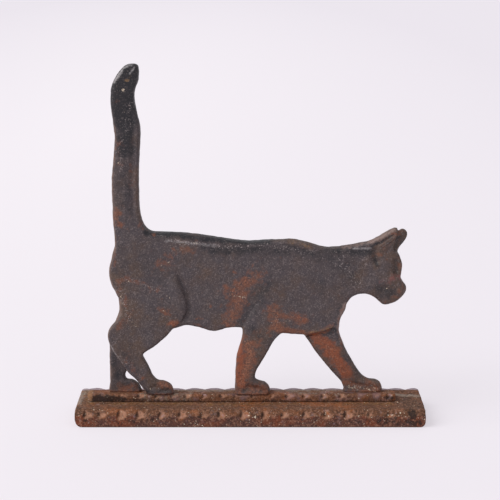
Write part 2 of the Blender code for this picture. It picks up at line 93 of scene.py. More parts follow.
# On the slab's front, seen square on
SLAB_BLACK = [
    ([(-93.5, 6.6), (-88, 5.6), (-86, 3.4)], 2.2, 0.5), ([(-82, 5.6), (-76.5, 4.0)], 2.3, 0.7),
    ([(-108, 5), (-106, 3)], 1.8, 0.7), ([(0.5, 8.6), (4.5, 7.6)], 1.2, 0.9),
    ([(106.0, 8.6), (106.6, 7.6)], 2.8, 1.4), ([(84, 4.5), (112, 3)], 3.0, 0.8),
    ([(-64, 6), (-60, 5)], 1.5, 0.7), ([(-38, 7.4), (-32, 6.6)], 1.2, 0.6), ([(28, 7), (34, 6)], 1.3, 0.6),
    ([(60, 5.5), (66, 4)], 1.8, 0.5),
]
# Where light crust shows, seen square on
SLAB_CRUST = [
    ([(88, 8.4), (103, 9)], 2.4, 0.5), ([(-2, 8.4), (3, 7.6)], 1.8, 0.7), ([(-38, 2), (-30, 2)], 1.2, 0.7),
]

# Of these tones, rim is a painted reflection of the pale paper on the slab's rear edge, and tan is painted
# light on the strip's lit left end
RUST_TONES = {
    "brown": "#64402B", "orange": "#8E5027", "ochre": "#7B562A", "purple": "#4B2F2B", "red": "#733A21",
    "pink": "#A3775F", "lilac": "#98828A", "grey": "#8E8174", "rim": "#A1929A", "dark": "#473021",
    "black": "#241914", "crust": "#D8CAB2", "tan": "#8D6747", "umber": "#4E311F",
}


def linear(code):
    """A hex sRGB colour in linear light: small values over 12.92, the rest ((v + 0.055) / 1.055) ^ 2.4."""
    value = np.array([int(code[k : k + 2], 16) for k in (1, 3, 5)]) / 255
    light = np.where(value <= 0.04045, value / 12.92, ((value + 0.055) / 1.055) ** 2.4)
    return (*light.tolist(), 1.0)


def add(tree, kind, inputs, **settings):
    """Adds a shader node. Each input takes a value, or the output of another node that is linked to it."""
    node = tree.nodes.new("ShaderNode" + kind)
    for name, value in settings.items():
        setattr(node, name, value)
    for name, value in inputs.items():
        if isinstance(value, bpy.types.NodeSocket):
            tree.links.new(value, node.inputs[name])
        else:
            node.inputs[name].default_value = value
    return node


def patches(tree, tones, base, layers):
    """Lays colours over a base in turn, and gives the last colour and each layer's mask.

    A layer's mask climbs from 0 to its cover as share + grain * (noise - 0.5) climbs from its low to its
    high level. The share is a mesh attribute, or 0.5 if none is named; the noise's lumps have a size in mm.
    """
    place = add(tree, "TexCoord", {}).outputs["Object"]
    colour, masks = linear(tones[base]), []
    for index, (share, size, grain, low, high, cover, tone) in enumerate(layers):
        noise = add(
            tree, "TexNoise",
            {"Vector": place, "W": 3.1 * index, "Scale": 1 / (size * MM), "Detail": 3, "Roughness": 0.6},
            noise_dimensions="4D",
        ).outputs["Fac"]
        start = 0.5
        if share:
            start = add(tree, "Attribute", {}, attribute_name=share).outputs["Fac"]
        lifted = add(tree, "Math", {0: noise, 1: grain, 2: -grain / 2}, operation="MULTIPLY_ADD").outputs[0]
        level = add(tree, "Math", {0: start, 1: lifted}, operation="ADD").outputs[0]
        mask = add(
            tree, "MapRange", {"Value": level, "From Min": low, "From Max": high, "To Max": cover},
            interpolation_type="SMOOTHSTEP",
        ).outputs[0]
        masks.append(mask)
        colour = add(tree, "Mix", {0: mask, 6: colour, 7: linear(tones[tone])}, data_type="RGBA").outputs[2]
    return colour, masks


def gritty(tree, sizes):
    """A bump from noise at several sizes in mm, each with its own height in mm, one laid over another."""
    place = add(tree, "TexCoord", {}).outputs["Object"]
    normal = None
    for size, height in sizes:
        noise = add(tree, "TexNoise", {"Vector": place, "Scale": 1 / (size * MM), "Detail": 2}).outputs[0]
        inputs = {"Height": noise, "Strength": 1.0, "Distance": height * MM}
        if normal:
            inputs["Normal"] = normal
        normal = add(tree, "Bump", inputs).outputs[0]
    return normal


def finish(name, tones, base, layers, rough, grains, even):
    """A material whose colours are laid over a base in turn, bumpy with grains of several sizes.

    Its roughness goes evenly from one value to another as the mask of a layer climbs from 0 to 1, and the
    values in even are the same all over.
    """
    made = bpy.data.materials.new(name)
    made.use_nodes = True
    tree = made.node_tree
    shader = tree.nodes["Principled BSDF"]
    colour, masks = patches(tree, tones, base, layers)
    layer, start, end = rough
    sheen = add(tree, "MapRange", {"Value": masks[layer], "To Min": start, "To Max": end}).outputs[0]
    tree.links.new(colour, shader.inputs["Base Color"])
    tree.links.new(sheen, shader.inputs["Roughness"])
    tree.links.new(gritty(tree, grains), shader.inputs["Normal"])
    for socket, value in even.items():
        shader.inputs[socket].default_value = value
    return made


def rusted_iron(name, layers):
    """Bare sand-cast iron under a thin crust of rust: matt and mottled, with no sparkle anywhere.

    Rust grains of 0.1 mm are too fine to show, so they are drawn about 1 and 2 mm wide.
    """
    grains = ((2.2, 0.35), (1.0, 0.25))
    return finish(name, RUST_TONES, "brown", layers, (0, 0.86, 0.7), grains, {"Specular IOR Level": 0.35})


def lumps(points, cell, seed):
    """Lumps from -1 to 1: a number at each corner of a grid of cubes, mixed by 3t^2 - 2t^3 in between.

    A corner's number is its three whole coordinates and the seed, scrambled by products with large whole
    numbers. The seed also moves the grid.
    """
    place = points / cell + 0.37 * seed
    base = np.floor(place).astype(np.int64)
    t = place - base
    t = t * t * (3 - 2 * t)
    total = np.zeros(len(points))
    for corner in np.ndindex(2, 2, 2):
        key = (base + corner) @ np.array([73856093, 19349663, 83492791]) + 7919 * seed
        key = (key ^ (key >> 13)) * 1274126177 & 0x7FFFFFFF
        key = (key ^ (key >> 11)) * 1103515245 & 0x7FFFFFFF
        total += (key / 0x3FFFFFFF - 1) * np.where(corner, t, 1 - t).prod(axis=1)
    return total


def along_course(points, course):
    """Each point's distance from a course of straight runs, and the share of it passed at the nearest.

    The nearest place on a run lies at the share (offset . run) / length^2 of it, held between 0 and 1.
    """
    course = np.array(course, float)
    start, side = course[:-1], np.diff(course, axis=0)
    length = np.linalg.norm(side, axis=1)
    passed = np.concatenate([[0], np.cumsum(length)])
    offset = points[:, None, :] - start[None]
    share = np.clip((offset * side).sum(2) / length**2, 0, 1)
    away = np.linalg.norm(offset - share[..., None] * side, axis=2)
    nearest = away.argmin(axis=1)
    rows = np.arange(len(points))
    return away[rows, nearest], (passed[nearest] + share[rows, nearest] * length[nearest]) / passed[-1]


def strokes(points, table):
    """The strongest of a table's soft strokes: strength * exp(-(distance / width)^2)."""
    total = np.zeros(len(points))
    for course, width, strength in table:
        away, _ = along_course(points, course)
        total = np.maximum(total, strength * np.exp(-((away / width) ** 2)))
    return total


def surface(name, points, faces, shares):
    """A smooth-shaded object from points in mm and faces, with a float attribute for each of the shares."""
    mesh = bpy.data.meshes.new(name)
    mesh.from_pydata((points * MM).tolist(), [], faces)
    for share, values in shares.items():
        mesh.attributes.new(share, "FLOAT", "POINT").data.foreach_set("value", values.astype(np.float32))
    mesh.shade_smooth()
    piece = bpy.data.objects.new(name, mesh)
    bpy.context.scene.collection.objects.link(piece)
    return piece


def settle(piece):
    """Makes the piece's modifiers part of its mesh."""
    shape = bpy.data.meshes.new_from_object(piece.evaluated_get(bpy.context.evaluated_depsgraph_get()))
    shape.materials.clear()
    piece.modifiers.clear()
    piece.data = shape


SCREWS = ("screw_near_hind_paw", "screw_near_fore_paw", "screw_far_fore_paw")
# The screw's radii and the heights of its steps, then the hole's clearance, lowest level, number of sides,
# and the share of a side that it is turned by, so that no side lines up with the bar's own points
SCREW = {"head": 3.1, "shank": 1.6, "rim": 0.4, "cone": 1.8, "point": 0.4}
HOLE = {"clear": 0.3, "below": -4.0, "sides": 24, "turn": 0.37}


def bore(piece):
    """Cuts the three screws' holes out of a piece.

    A hole is its screw's outline, a little larger all round, turned about the screw's axis: each step's
    radius times the cosine and sine of the angle, at the step's height.
    """
    clear = HOLE["clear"]
    head, shank = SCREW["head"] + clear, SCREW["shank"] + clear
    rings, sides = [], []
    for name in SCREWS:
        low, high = (np.array(corner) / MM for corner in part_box(name))
        outline = np.array([
            (head, HOLE["below"]), (head, low[2] + SCREW["rim"]), (shank, low[2] + SCREW["cone"]),
            (shank, high[2] - SCREW["point"]), (shank - SCREW["point"] - clear, high[2] + clear),
        ])
        angle = (np.arange(HOLE["sides"]) + HOLE["turn"]) * math.tau / HOLE["sides"]
        rim = np.stack([np.cos(angle), np.sin(angle)], axis=1)
        middle = (low + high)[:2] / 2
        flat = outline[:, None, :1] * rim[None] + middle
        height = np.repeat(outline[:, 1:], len(angle), axis=1)
        index = len(rings) * outline.shape[0] * len(angle) + np.arange(height.size).reshape(height.shape)
        rings.append(np.concatenate([flat, height[..., None]], axis=2).reshape(-1, 3))
        ahead = np.roll(index, -1, axis=1)
        sides += np.stack([index[:-1], ahead[:-1], ahead[1:], index[1:]], axis=-1).reshape(-1, 4).tolist()
        sides += [index[0, ::-1].tolist(), index[-1].tolist()]
    cutter = surface("screw_holes", np.vstack(rings), sides, {})
    cut = piece.modifiers.new("holes", "BOOLEAN")
    cut.operation = "DIFFERENCE"
    cut.solver = "MANIFOLD"
    cut.object = cutter
    # The faces round a hole have many corners, and are split evenly so that none is a sliver
    piece.modifiers.new("split", "TRIANGULATE").min_vertices = 5
    settle(piece)
    bpy.data.objects.remove(cutter)


def evenly(curve, step, stride=1):
    """Points at an even step round a closed curve, each side's step being its own stride times as long."""
    closed = np.vstack([curve, curve[:1]])
    walked = np.cumsum(np.linalg.norm(np.diff(closed, axis=0), axis=1) / stride)
    walked = np.concatenate([[0], walked])
    at = np.linspace(0, walked[-1], int(walked[-1] / step), endpoint=False)
    return np.stack([np.interp(at, walked, closed[:, axis]) for axis in (0, 1)], axis=1)


def rounded_section(corners, radii, step, coarse):
    """A closed outline with curved corners, walked at an even step that is coarser below.

    A corner's curve is (1 - t)^2 * start + 2t(1 - t) * corner + t^2 * end, tangent to both sides.
    """
    corners = np.array(corners, float)
    before = np.roll(corners, 1, axis=0) - corners
    after = np.roll(corners, -1, axis=0) - corners
    reach = np.array(radii)[:, None]
    start = corners + reach * before / np.linalg.norm(before, axis=1, keepdims=True)
    end = corners + reach * after / np.linalg.norm(after, axis=1, keepdims=True)
    t = np.linspace(0, 1, 9)[None, :, None]
    curve = (1 - t) ** 2 * start[:, None] + 2 * t * (1 - t) * corners[:, None] + t**2 * end[:, None]
    curve = curve.reshape(-1, 2)
    foot = curve[:, 1] < corners[0, 1] + 0.01
    return evenly(curve, step, np.where(foot & np.roll(foot, -1), coarse, 1))


def softly_least(a, b, blend):
    """The smaller of two values, with the crossing rounded over the blend.

    It is b + (a - b)h - blend * h(1 - h), with h = 0.5 + 0.5(b - a) / blend held between 0 and 1.
    """
    h = np.clip(0.5 + 0.5 * (b - a) / blend, 0, 1)
    return b + (a - b) * h - blend * h * (1 - h)


BITE_RUN = 1.6  # how far to each side of a notch's wall its bite reaches
# The painted shade on a notch's wall, with some dirt in its corner: how far before the wall and how high
# up it lies, and its reach each way
WALL_SHADE = {"before": 1.0, "up": 0.58, "run": 1.9, "rise": 0.4}


def notched_bar(low, high, section, end, step, rows, pits, seed):
    """A bar's points, faces and shares: its section carried along X, its upper long edges cut by wedges.

    The grid's two parameters are the station along X and the place round the section. Near an end
    the section is drawn in by 1 - sin(a) of the end's rounding, at 1 - cos(a) of it from the end, and
    on the end's face it shrinks to a point. A wedge holds the surface under a plane that slopes down
    and outwards, and dips most at the notch's wall. Lumps then sink each point along its normal. The
    shares say where the surface is cut, is a notch's wall, or stands upright and uncut, and how much
    grime is on it.
    """
    length, width, height = high - low
    middle = (low + high) / 2
    turn = np.radians(np.linspace(0, 90, 9))
    face = np.linspace(0.06, 0.94, 14)
    tail, head = (reach * (1 - np.cos(turn)) for reach in end["along"])
    run = np.arange(tail[-1] + step, length - head[-1] - step / 2, step)
    distance = np.concatenate([0 * face, tail, run, length - head[::-1], length + 0 * face])
    drawn = np.concatenate([0 * face + 1, 1 - np.sin(turn), 0 * run, 1 - np.sin(turn[::-1]), 0 * face + 1])
    share = np.concatenate([face, 0 * turn + 1, 0 * run + 1, 0 * turn + 1, face[::-1]])
    raised = np.where(distance < length / 2, *end["lower"]) * drawn
    y, z = section.T
    in_front = (1 - end["front"] * drawn / (width / 2)) * share
    behind = (1 - end["rear"] * drawn / (width / 2)) * share
    across = np.where(y > 0, behind[:, None] * y, in_front[:, None] * y)
    above = (1 - end["upper"] * drawn / (height / 2)) * share
    below = (1 - raised / (height / 2)) * share
    upright = np.where(z > 0, above[:, None] * z, below[:, None] * z)
    stations = np.broadcast_to((low[0] + distance)[:, None], upright.shape)
    grid = np.stack([stations, middle[1] + across, middle[2] + upright], axis=2)
    depth, walls = np.zeros(upright.shape), np.zeros(upright.shape)
    for side, (notch, row) in rows.items():
        wall, size = np.array(row).T
        slope = math.hypot(notch["inward"], notch["down"])
        up = np.clip(1 - (high[2] - grid[..., 2:]) / notch["down"], 0, 1)
        past = stations[..., None] - wall - notch["lean"] * up
        gentle = 1 - np.clip(past / notch["gentle"], 0, 1) ** notch["bend"]
        dip = np.where(past < 0, np.clip(1 + past / notch["steep"], 0, 1), gentle) ** notch["cusp"]
        dip *= notch["inward"] * notch["down"] / slope
        dip = ((dip + notch["bite"] * np.exp(-((past / BITE_RUN) ** 2))) * size).max(axis=2)
        out = np.array([0, side * notch["down"], notch["inward"]]) / slope
        corner = np.array([0, middle[1] + side * width / 2, high[2]])
        level = (grid - corner) @ out
        lowered = softly_least(level, -dip, notch["blend"]) - level
        lowered = np.where((side * (grid[..., 1] - middle[1]) > 0) & (dip > 0), lowered, 0)
        grid += lowered[..., None] * out
        depth -= lowered
        # The walls take painted shade, with some dirt, as a soft dark spot
        if notch["bite"]:
            along = (past + WALL_SHADE["before"]) / WALL_SHADE["run"]
            shaded = np.exp(-(along**2) - ((up - WALL_SHADE["up"]) / WALL_SHADE["rise"]) ** 2)
            walls += shaded.max(axis=2) * np.clip(-lowered / 0.3, 0, 1)
    normal = np.cross(np.roll(grid, -1, axis=1) - np.roll(grid, 1, axis=1), np.gradient(grid, axis=0))
    normal = (normal / (np.linalg.norm(normal, axis=2, keepdims=True) + 1e-9)).reshape(-1, 3)
    points = grid.reshape(-1, 3)
    # The pits fade out in the lowest 3 mm, so that the bar sits flat
    sunk = sum(tall * (0.3 - lumps(points, cell, seed + k)) / 2 for k, (cell, tall) in enumerate(pits))
    points = points - normal * (sunk * np.clip((points[:, 2] - low[2]) / 3, 0, 1) ** 2)[:, None]
    index = np.arange(len(points)).reshape(depth.shape)
    ahead = np.roll(index, -1, axis=1)
    faces = np.stack([index[:-1], ahead[:-1], ahead[1:], index[1:]], axis=-1).reshape(-1, 4).tolist()
    for ring, order in ((0, -1), (-1, 1)):
        faces.append(index[ring, ::order].tolist())
    # It is cut in full 0.6 mm deep, and upright where its normal's height has fallen from 0.6 to 0.25
    walls = np.clip(walls.ravel(), 0, 1)
    cut = np.clip(depth.ravel() / 0.6, 0, 1)
    side = np.clip((0.6 - normal[:, 2]) / 0.35, 0, 1) * (1 - cut)
    cut *= 1 - walls
    shares = {"cut": cut, "wall": walls, "side": side, "grime": 0.5 - 0.18 * cut}
    return np.clip(points, low, high), faces, shares


slab_low, slab_high = (np.array(corner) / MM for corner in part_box("base_slab"))
half_width, half_height = (slab_high - slab_low)[1:] / 2
slab_section = rounded_section(
    [
        (-half_width, -half_height), (half_width, -half_height),
        (half_width, half_height - SLAB_REAR_SLOPE["drop"]),
        (half_width - SLAB_REAR_SLOPE["width"], half_height),
        (SLAB_FRONT_CHAMFER - half_width, half_height), (-half_width, half_height - SLAB_FRONT_CHAMFER),
    ],
    [SLAB_CORNERS[corner] for corner in ("foot", "foot", "rear", "slope", "front", "front")], 0.5, 3,
)
points, faces, shares = notched_bar(
    slab_low, slab_high, slab_section, SLAB_END, 0.5,
    {-1: (SLAB_FRONT_NOTCH, SLAB_FRONT_NOTCHES), 1: (SLAB_REAR_NOTCH, SLAB_REAR_NOTCHES)}, SLAB_PITS, 3,
)
# Most tables on the plan count only on the top, and those on the front only near it. The pale rim, a
# painted reflection of the pale paper, starts 5.8 mm from the rear edge
on_top, in_front = points[:, 2] > 6, points[:, 1] < -18
rear_reflection = np.clip((points[:, 1] - slab_high[1] + 5.8) / 1.2, 0, 1) * (points[:, 2] > 7)
slab = surface("base_slab_iron", points, faces, {
    **shares,
    # The rim share is a painted reflection of the pale paper along the rear edge
    "rim": rear_reflection * (1 - 0.6 * shares["cut"]) * (1 - shares["side"]),
    "grey": strokes(points[:, :2], SLAB_GREY) * on_top,
    "ochre": strokes(points[:, :2], SLAB_OCHRE) * on_top,
    "orange": strokes(points[:, :2], SLAB_ORANGE) * on_top,
    "shade": strokes(points[:, :2], SLAB_SHADE) * on_top,
    "dark": strokes(points[:, :2], SLAB_DARK),
    "black": strokes(points[:, ::2], SLAB_BLACK) * in_front,
    "crust": 0.5 + 0.3 * strokes(points[:, ::2], SLAB_CRUST) * in_front,
    "foot": np.exp(-points[:, 2] / 1.3),
})
bore(slab)
slab.data.materials.append(rusted_iron("rusted_cast_iron_slab", [
    ("", 18, 3.4, 0.4, 1.1, 0.75, "orange"),
    ("dark", 6, 2.0, 0.2, 1.1, 0.75, "dark"),
    ("ochre", 3, 2.6, 0.3, 1.2, 0.7, "ochre"),
    ("", 5, 3.4, 0.55, 1.0, 0.55, "umber"),
    ("orange", 4, 2.6, 0.2, 1.2, 0.75, "orange"),
    ("side", 7, 2.4, 0.3, 1.2, 0.8, "purple"),
    ("side", 14, 4.0, 0.6, 1.5, 0.85, "red"),
    ("grey", 3, 2.6, 0.3, 1.1, 0.8, "grey"),
    ("cut", 2.4, 2.2, 0.15, 1.1, 0.9, "pink"),
    ("cut", 1.3, 4.0, 1.0, 1.6, 0.45, "brown"),
    ("cut", 14, 5.0, 1.0, 1.6, 0.8, "orange"),
    ("cut", 9, 5.0, 1.2, 1.9, 0.65, "lilac"),
    ("grime", 2.2, 3.2, 0.5, 1.0, 0.5, "black"),
    ("grime", 1.2, 3.4, 0.5, 0.95, 0.55, "black"),
    ("", 1.1, 3.4, 0.5, 0.95, 0.5, "pink"),
    # Painted reflection of the pale paper along the slab's rear edge
    ("rim", 3, 2.0, 0.1, 1.0, 0.8, "rim"),
    # Painted shade, with some dirt, on the notches' walls
    ("wall", 2.5, 1.8, 0.2, 1.1, 0.8, "black"),
    ("black", 2.4, 3.4, 0.4, 1.1, 0.82, "black"),
    ("shade", 2.5, 2.0, 0.3, 1.1, 0.7, "black"),
    ("foot", 3, 1.6, 0.2, 1.1, 0.7, "dark"),
    ("crust", 1.3, 3.2, 0.98, 1.12, 0.9, "crust"),
]))
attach(slab, "root")
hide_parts("base_slab")

# Foot strip
# A narrow bar of the same iron, cast and notched in the same way, which lies along the slab under the
# paws and is held there by the three screws. It is as rusty as the slab, with painted shade, nearly black,
# where its front edge and its foot sit in shade, and painted light on its lit left end.

STRIP_CHAMFER = 1.3
STRIP_END = {"along": (4.4, 4.4), "front": 3.4, "rear": 2.4, "upper": 1.0, "lower": (0.3, 0.3)}
STRIP_FRONT_NOTCHES = [
    (-87.1, 0.8), (-74.6, 0.9), (-63.1, 0.9), (-53.0, 0.9), (-43.6, 1.0), (-31.8, 1.0), (-20.1, 0.9),
    (-10.6, 0.8), (0.6, 0.8), (13.6, 0.8), (24.2, 1.0), (35.2, 1.0), (47.6, 1.0), (59.3, 1.0), (71.3, 0.5),
    (82.2, 0.6), (91.5, 1.1),
]
STRIP_REAR_NOTCHES = [(-96.0 + 11.6 * k + 0.6 * math.sin(1.7 * k), 0.5) for k in range(17)]
STRIP_NOTCH = {
    "inward": 2.0, "down": 3.1, "steep": 2.0, "gentle": 6.8,
    "lean": 0.6, "blend": 0.4, "bite": 0.3, "bend": 2.0, "cusp": 1,
}
STRIP_PITS = ((5.0, 0.28), (2.2, 0.22), (1.2, 0.12))
SEAT = 0.25  # the visible strip reaches down this far, to close its gap to the slab
# Painted shade along the strip's front edge, deepest at its left end and by the knob at its right end,
# on the strip's front seen square on
STRIP_FRONT_SHADE = [
    ([(-104, 13.6), (-92, 13.6)], 2.6, 1.5), ([(-92, 13.4), (-84, 12.9)], 2.2, 1.2),
    ([(-84, 12.7), (-70, 12.5)], 1.3, 0.75), ([(-70, 12.4), (-30, 12.2)], 1.1, 0.6),
    ([(5, 12.2), (25, 12.2)], 1.1, 0.6), ([(38, 12.2), (95, 12.2)], 1.0, 0.55),
    ([(90.5, 14.6), (94, 13.8)], 2.0, 1.0),
]
STRIP_RED = [
    ([(-104, 5), (-88, 5)], 4, 0.6), ([(-82, 3), (-76, -1)], 4.5, 1.0), ([(3, 0), (24, -3)], 5, 0.8),
    ([(95, 2), (97, -3)], 3, 0.9),
]
STRIP_GREY = [
    ([(-72, -4), (-40, -4)], 3.5, 0.8), ([(24, -2), (60, -4)], 3.5, 0.6), ([(-20, 4), (-10, 2)], 3, 0.5),
    ([(-66, 3.5), (-14, 3.5)], 4.2, 1.0), ([(18, 3.5), (60, 3.5)], 4.2, 1.0),
]

strip_low, strip_high = (np.array(corner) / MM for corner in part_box("foot_strip"))
strip_low[2] -= SEAT
half_width, half_height = (strip_high - strip_low)[1:] / 2
strip_section = rounded_section(
    [
        (-half_width, -half_height), (half_width, -half_height), (half_width, half_height - STRIP_CHAMFER),
        (half_width - STRIP_CHAMFER, half_height), (STRIP_CHAMFER - half_width, half_height),
        (-half_width, half_height - STRIP_CHAMFER),
    ],
    [0.3] * 2 + [0.8] * 4, 0.45, 3,
)
points, faces, shares = notched_bar(
    strip_low, strip_high, strip_section, STRIP_END, 0.45,
    {-1: (STRIP_NOTCH, STRIP_FRONT_NOTCHES), 1: (STRIP_NOTCH, STRIP_REAR_NOTCHES)}, STRIP_PITS, 11,
)
strip = surface("foot_strip_iron", points, faces, {
    **shares,
    # Painted shade along the strip's front edge
    "black": strokes(points[:, ::2], STRIP_FRONT_SHADE) * (points[:, 1] < -4.5),
    "red": strokes(points[:, :2], STRIP_RED),
    "grey": strokes(points[:, :2], STRIP_GREY),
    # Painted shade along the strip's foot, where it meets the slab
    "low": np.clip((strip_low[2] + 1.2 - points[:, 2]) / 1.2, 0, 1),
    # Painted light on the strip's rounded left end, which faces the key light
    "end": np.clip((strip_low[0] + 4.6 - points[:, 0]) / 1.6, 0, 1),
})
bore(strip)
strip.data.materials.append(rusted_iron("rusted_cast_iron_strip", [
    ("", 11, 3.4, 0.4, 1.1, 0.55, "orange"),
    ("", 6, 3.4, 0.45, 0.95, 0.5, "purple"),
    ("", 7, 3.4, 0.45, 1.0, 0.32, "lilac"),
    ("grey", 3, 2.4, 0.4, 1.1, 0.65, "grey"),
    ("red", 3, 2.4, 0.3, 1.2, 0.75, "orange"),
    ("cut", 3, 2.4, 0.15, 1.1, 0.75, "pink"),
    ("cut", 9, 5.0, 0.8, 1.6, 0.68, "lilac"),
    ("cut", 1.3, 4.0, 1.0, 1.6, 0.4, "brown"),
    ("grime", 2.0, 3.4, 0.5, 1.0, 0.42, "black"),
    ("", 1.1, 3.4, 0.5, 0.95, 0.45, "pink"),
    # Painted shade along the strip's foot
    ("low", 2.5, 2.2, 0.5, 1.3, 0.45, "black"),
    ("wall", 2.5, 1.6, 0.25, 1.1, 0.5, "black"),
    # Painted shade along the strip's front edge
    ("black", 1.6, 2.4, 0.3, 1.0, 0.85, "black"),
    # Painted light on the strip's lit left end
    ("end", 2, 3.0, 0.3, 1.2, 0.75, "tan"),
    ("", 1.3, 3.2, 0.98, 1.12, 0.9, "crust"),
]))
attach(strip, "root")
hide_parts("foot_strip")

# Cat
# One flat casting of grey iron, modelled in relief on both sides, whose raised tail is the handle. The
# paint has worn to a thin grey-violet skin, blacker along the back and tail, and rust comes through at
# legs and edges.

HALF_THICKNESS = 5.1
CROWN = 0.9  # how much fuller the body is in its middle than near its edge
BODY_ROUNDING = 2.5
LIMB_ROUNDING = 2.2
LIMB_MIDDLE = 2.875
LIMB_HALF = 3.25
MUSCLE_LIFT = 0.25  # of a limb's half thickness, at its muscle
LIMB_SINK = 0.34  # of a limb's half thickness, where its upper end is lost in the flank
EAR_ROUNDING = 1.5
SQUARENESS = 3.0  # of the rounding: 2 is a quarter of an ellipse
# Where a mass grows thinner: from what place, over what run, and by what share in the end
THINNING = {"tail": (105, 113, 0.22), "nose": (92, 12, 0.16), "ear": (98, 14, 0.2)}
# The points on a mass: the step along its outline, the rings as shares of the rounding, and the rows and
# columns of the rest, with how far they stay clear of the rings
LOOP_STEP = 1.0
RINGS = (0.04, 0.14, 0.3, 0.5, 0.75, 1.0)
FIELD = {"row": 2.0, "column": 2.3, "clear": 0.9}
VOXEL = 0.75  # the cell in which the masses grow together
REAR_PAW_TO_STRIP_END = 15.3
REAR_PAW = -93.5  # where the rearmost paw ends in the outlines
PAW_SEAT = 0.45  # the visible soles reach down this far, to the bottom of the strip's pits
# Just above the soles: how high the relief has faded in, how far and how high the paws flare, and how high
# what faces down is flat
SOLE = {"relief": 1.5, "flare": 0.7, "flare_height": 0.9, "flat": 0.6}
FOLD_FADE = 0.15  # of a fold's length, at each end

# The pattern's outlines, from the soles up and from the middle of the slab
BODY = [
    (-73, 218.7), (-71.3, 214.7), (-72, 208.5), (-74.5, 200.5), (-74.5, 194), (-73, 187), (-71.3, 180),
    (-71, 172), (-71.7, 161.5), (-72.4, 148.5), (-72.5, 135.5), (-72.3, 124.5), (-71, 118), (-68.7, 112.2),
    (-64, 109.2), (-57, 108.7), (-47, 108.2), (-35.5, 107.3), (-23.5, 105.5), (-10, 103.8), (0, 102.8),
    (13, 103.7), (27.5, 103.9), (34, 102.7), (41.5, 100.8), (49, 98.9), (58, 99.3), (67, 100.4),
    (77.5, 102.3), (88, 101.5), (96.3, 95.7), (98.6, 91.4), (99.8, 87), (99, 79), (100.3, 75.8),
    (102.8, 71.5), (101, 67), (96.5, 63), (91.7, 61.2), (87.5, 60.7), (82.5, 64.5), (78.5, 67),
    (73.5, 67.5), (68, 66), (64.3, 62), (59.8, 53.7), (55, 43.5), (45, 39.5), (34.5, 39.6), (24, 40.7),
    (8, 42), (-5.5, 44.6), (-14.5, 44.5), (-24, 42.3), (-33, 44.6), (-42.5, 46.4), (-52, 44), (-66.5, 45.5),
    (-79.5, 49.5), (-86.2, 55.5), (-85.4, 61), (-88.4, 67.5), (-91.8, 75), (-93.1, 82), (-91.6, 90.5),
    (-89.1, 100), (-89.3, 110), (-90, 122), (-90.2, 135.5), (-89.8, 148.5), (-88.2, 163), (-87.7, 172),
    (-88.7, 182.5), (-89.9, 192), (-89.9, 199.5), (-89.1, 205), (-86.8, 210), (-83.5, 214.8),
    (-78.8, 218.6),
]
NEAR_HIND_LEG = [
    (-85.6, 63.5), (-85.7, 55.5), (-88.2, 50.2), (-92.3, 45.7), (-94.4, 41.1), (-93.9, 35.4), (-91.2, 29.3),
    (-85.7, 20.9), (-81.2, 14.3), (-75.5, 9), (-72, 4), (-68.5, 0), (-65.5, -1), (-56, -1), (-51.4, 0),
    (-51.4, 3), (-53.2, 6.2), (-57.1, 8.1), (-61.7, 8.8), (-64.6, 11.4), (-67.6, 18.4), (-70, 23),
    (-71.3, 26.4), (-68.7, 28.8), (-61.9, 33.7), (-55.6, 39.2), (-50, 45.6), (-44, 50), (-41, 55.5),
    (-41, 63), (-43.5, 70.5), (-46.5, 77), (-52, 84.5), (-62.5, 89), (-74, 88), (-83, 80),
]
FAR_HIND_LEG = [
    (-93.6, 40), (-93.9, 31), (-94, 23.5), (-93.7, 15.5), (-93.7, 7), (-93.5, -0.5), (-83, -1),
    (-73.5, -0.5), (-73.5, 2.5), (-75, 5), (-78.5, 7.3), (-82.5, 7.9), (-83.6, 9.8), (-82.5, 14),
    (-77.5, 21), (-72.5, 29), (-66, 37), (-57, 46), (-50, 54), (-48, 62), (-50, 72), (-56, 82), (-66, 88),
    (-77, 86), (-85.5, 77), (-87.3, 66), (-86.6, 56), (-89.2, 49),
]
NEAR_FORELEG = [
    (-4.5, 46.5), (-5.5, 39), (-7.5, 32), (-9.2, 26), (-9.9, 18.5), (-10.2, 9.5), (-10.4, 2.5), (-8.4, -1),
    (1.5, -1.5), (10, -1), (12.8, 1), (12.2, 4.8), (9.7, 7.4), (5.9, 8.5), (3.2, 10.2), (3.8, 15),
    (6.9, 20.6), (11.1, 28.2), (15.2, 35.6), (19.8, 40.7), (26.5, 44.8), (31, 52.5), (31.5, 63), (26.5, 71),
    (18, 73.5), (10, 69.5), (2.5, 59.5),
]
FAR_FORELEG = [
    (63.3, 59), (59.7, 51.2), (58.8, 43), (60.8, 36), (63.5, 29.3), (67.3, 21.9), (70.9, 15.9),
    (74.3, 11.2), (78.4, 8.3), (84, 7.5), (87, 5), (88, 1.5), (86, -1), (74, -1.5), (63.6, -1), (62.1, 3),
    (60, 7.2), (54.9, 12.6), (49.4, 19.5), (43.8, 26.8), (39.5, 33.5), (35.5, 39), (32.5, 46), (31, 56),
    (33, 68), (40, 78), (50, 81), (58, 76), (62.8, 68),
]
NEAR_EAR = [
    (66, 96.5), (70.5, 100.7), (76, 102.2), (80.5, 104.1), (85, 106.6), (90, 109.5), (95, 112),
    (96.5, 110.5), (96, 107), (94, 102), (92.5, 96), (86.5, 93), (76, 92.5),
]
FAR_EAR = [
    (92, 103), (95, 106.7), (97.3, 109.3), (100, 110.7), (102.5, 109), (103, 106.5), (101.9, 103.5),
    (99.2, 100.1), (97, 96.8), (95.5, 92), (91, 93.5),
]
EARS = [(NEAR_EAR, -1.0, 4.5), (FAR_EAR, 2.4, 2.8)]  # outline, middle plane and half thickness
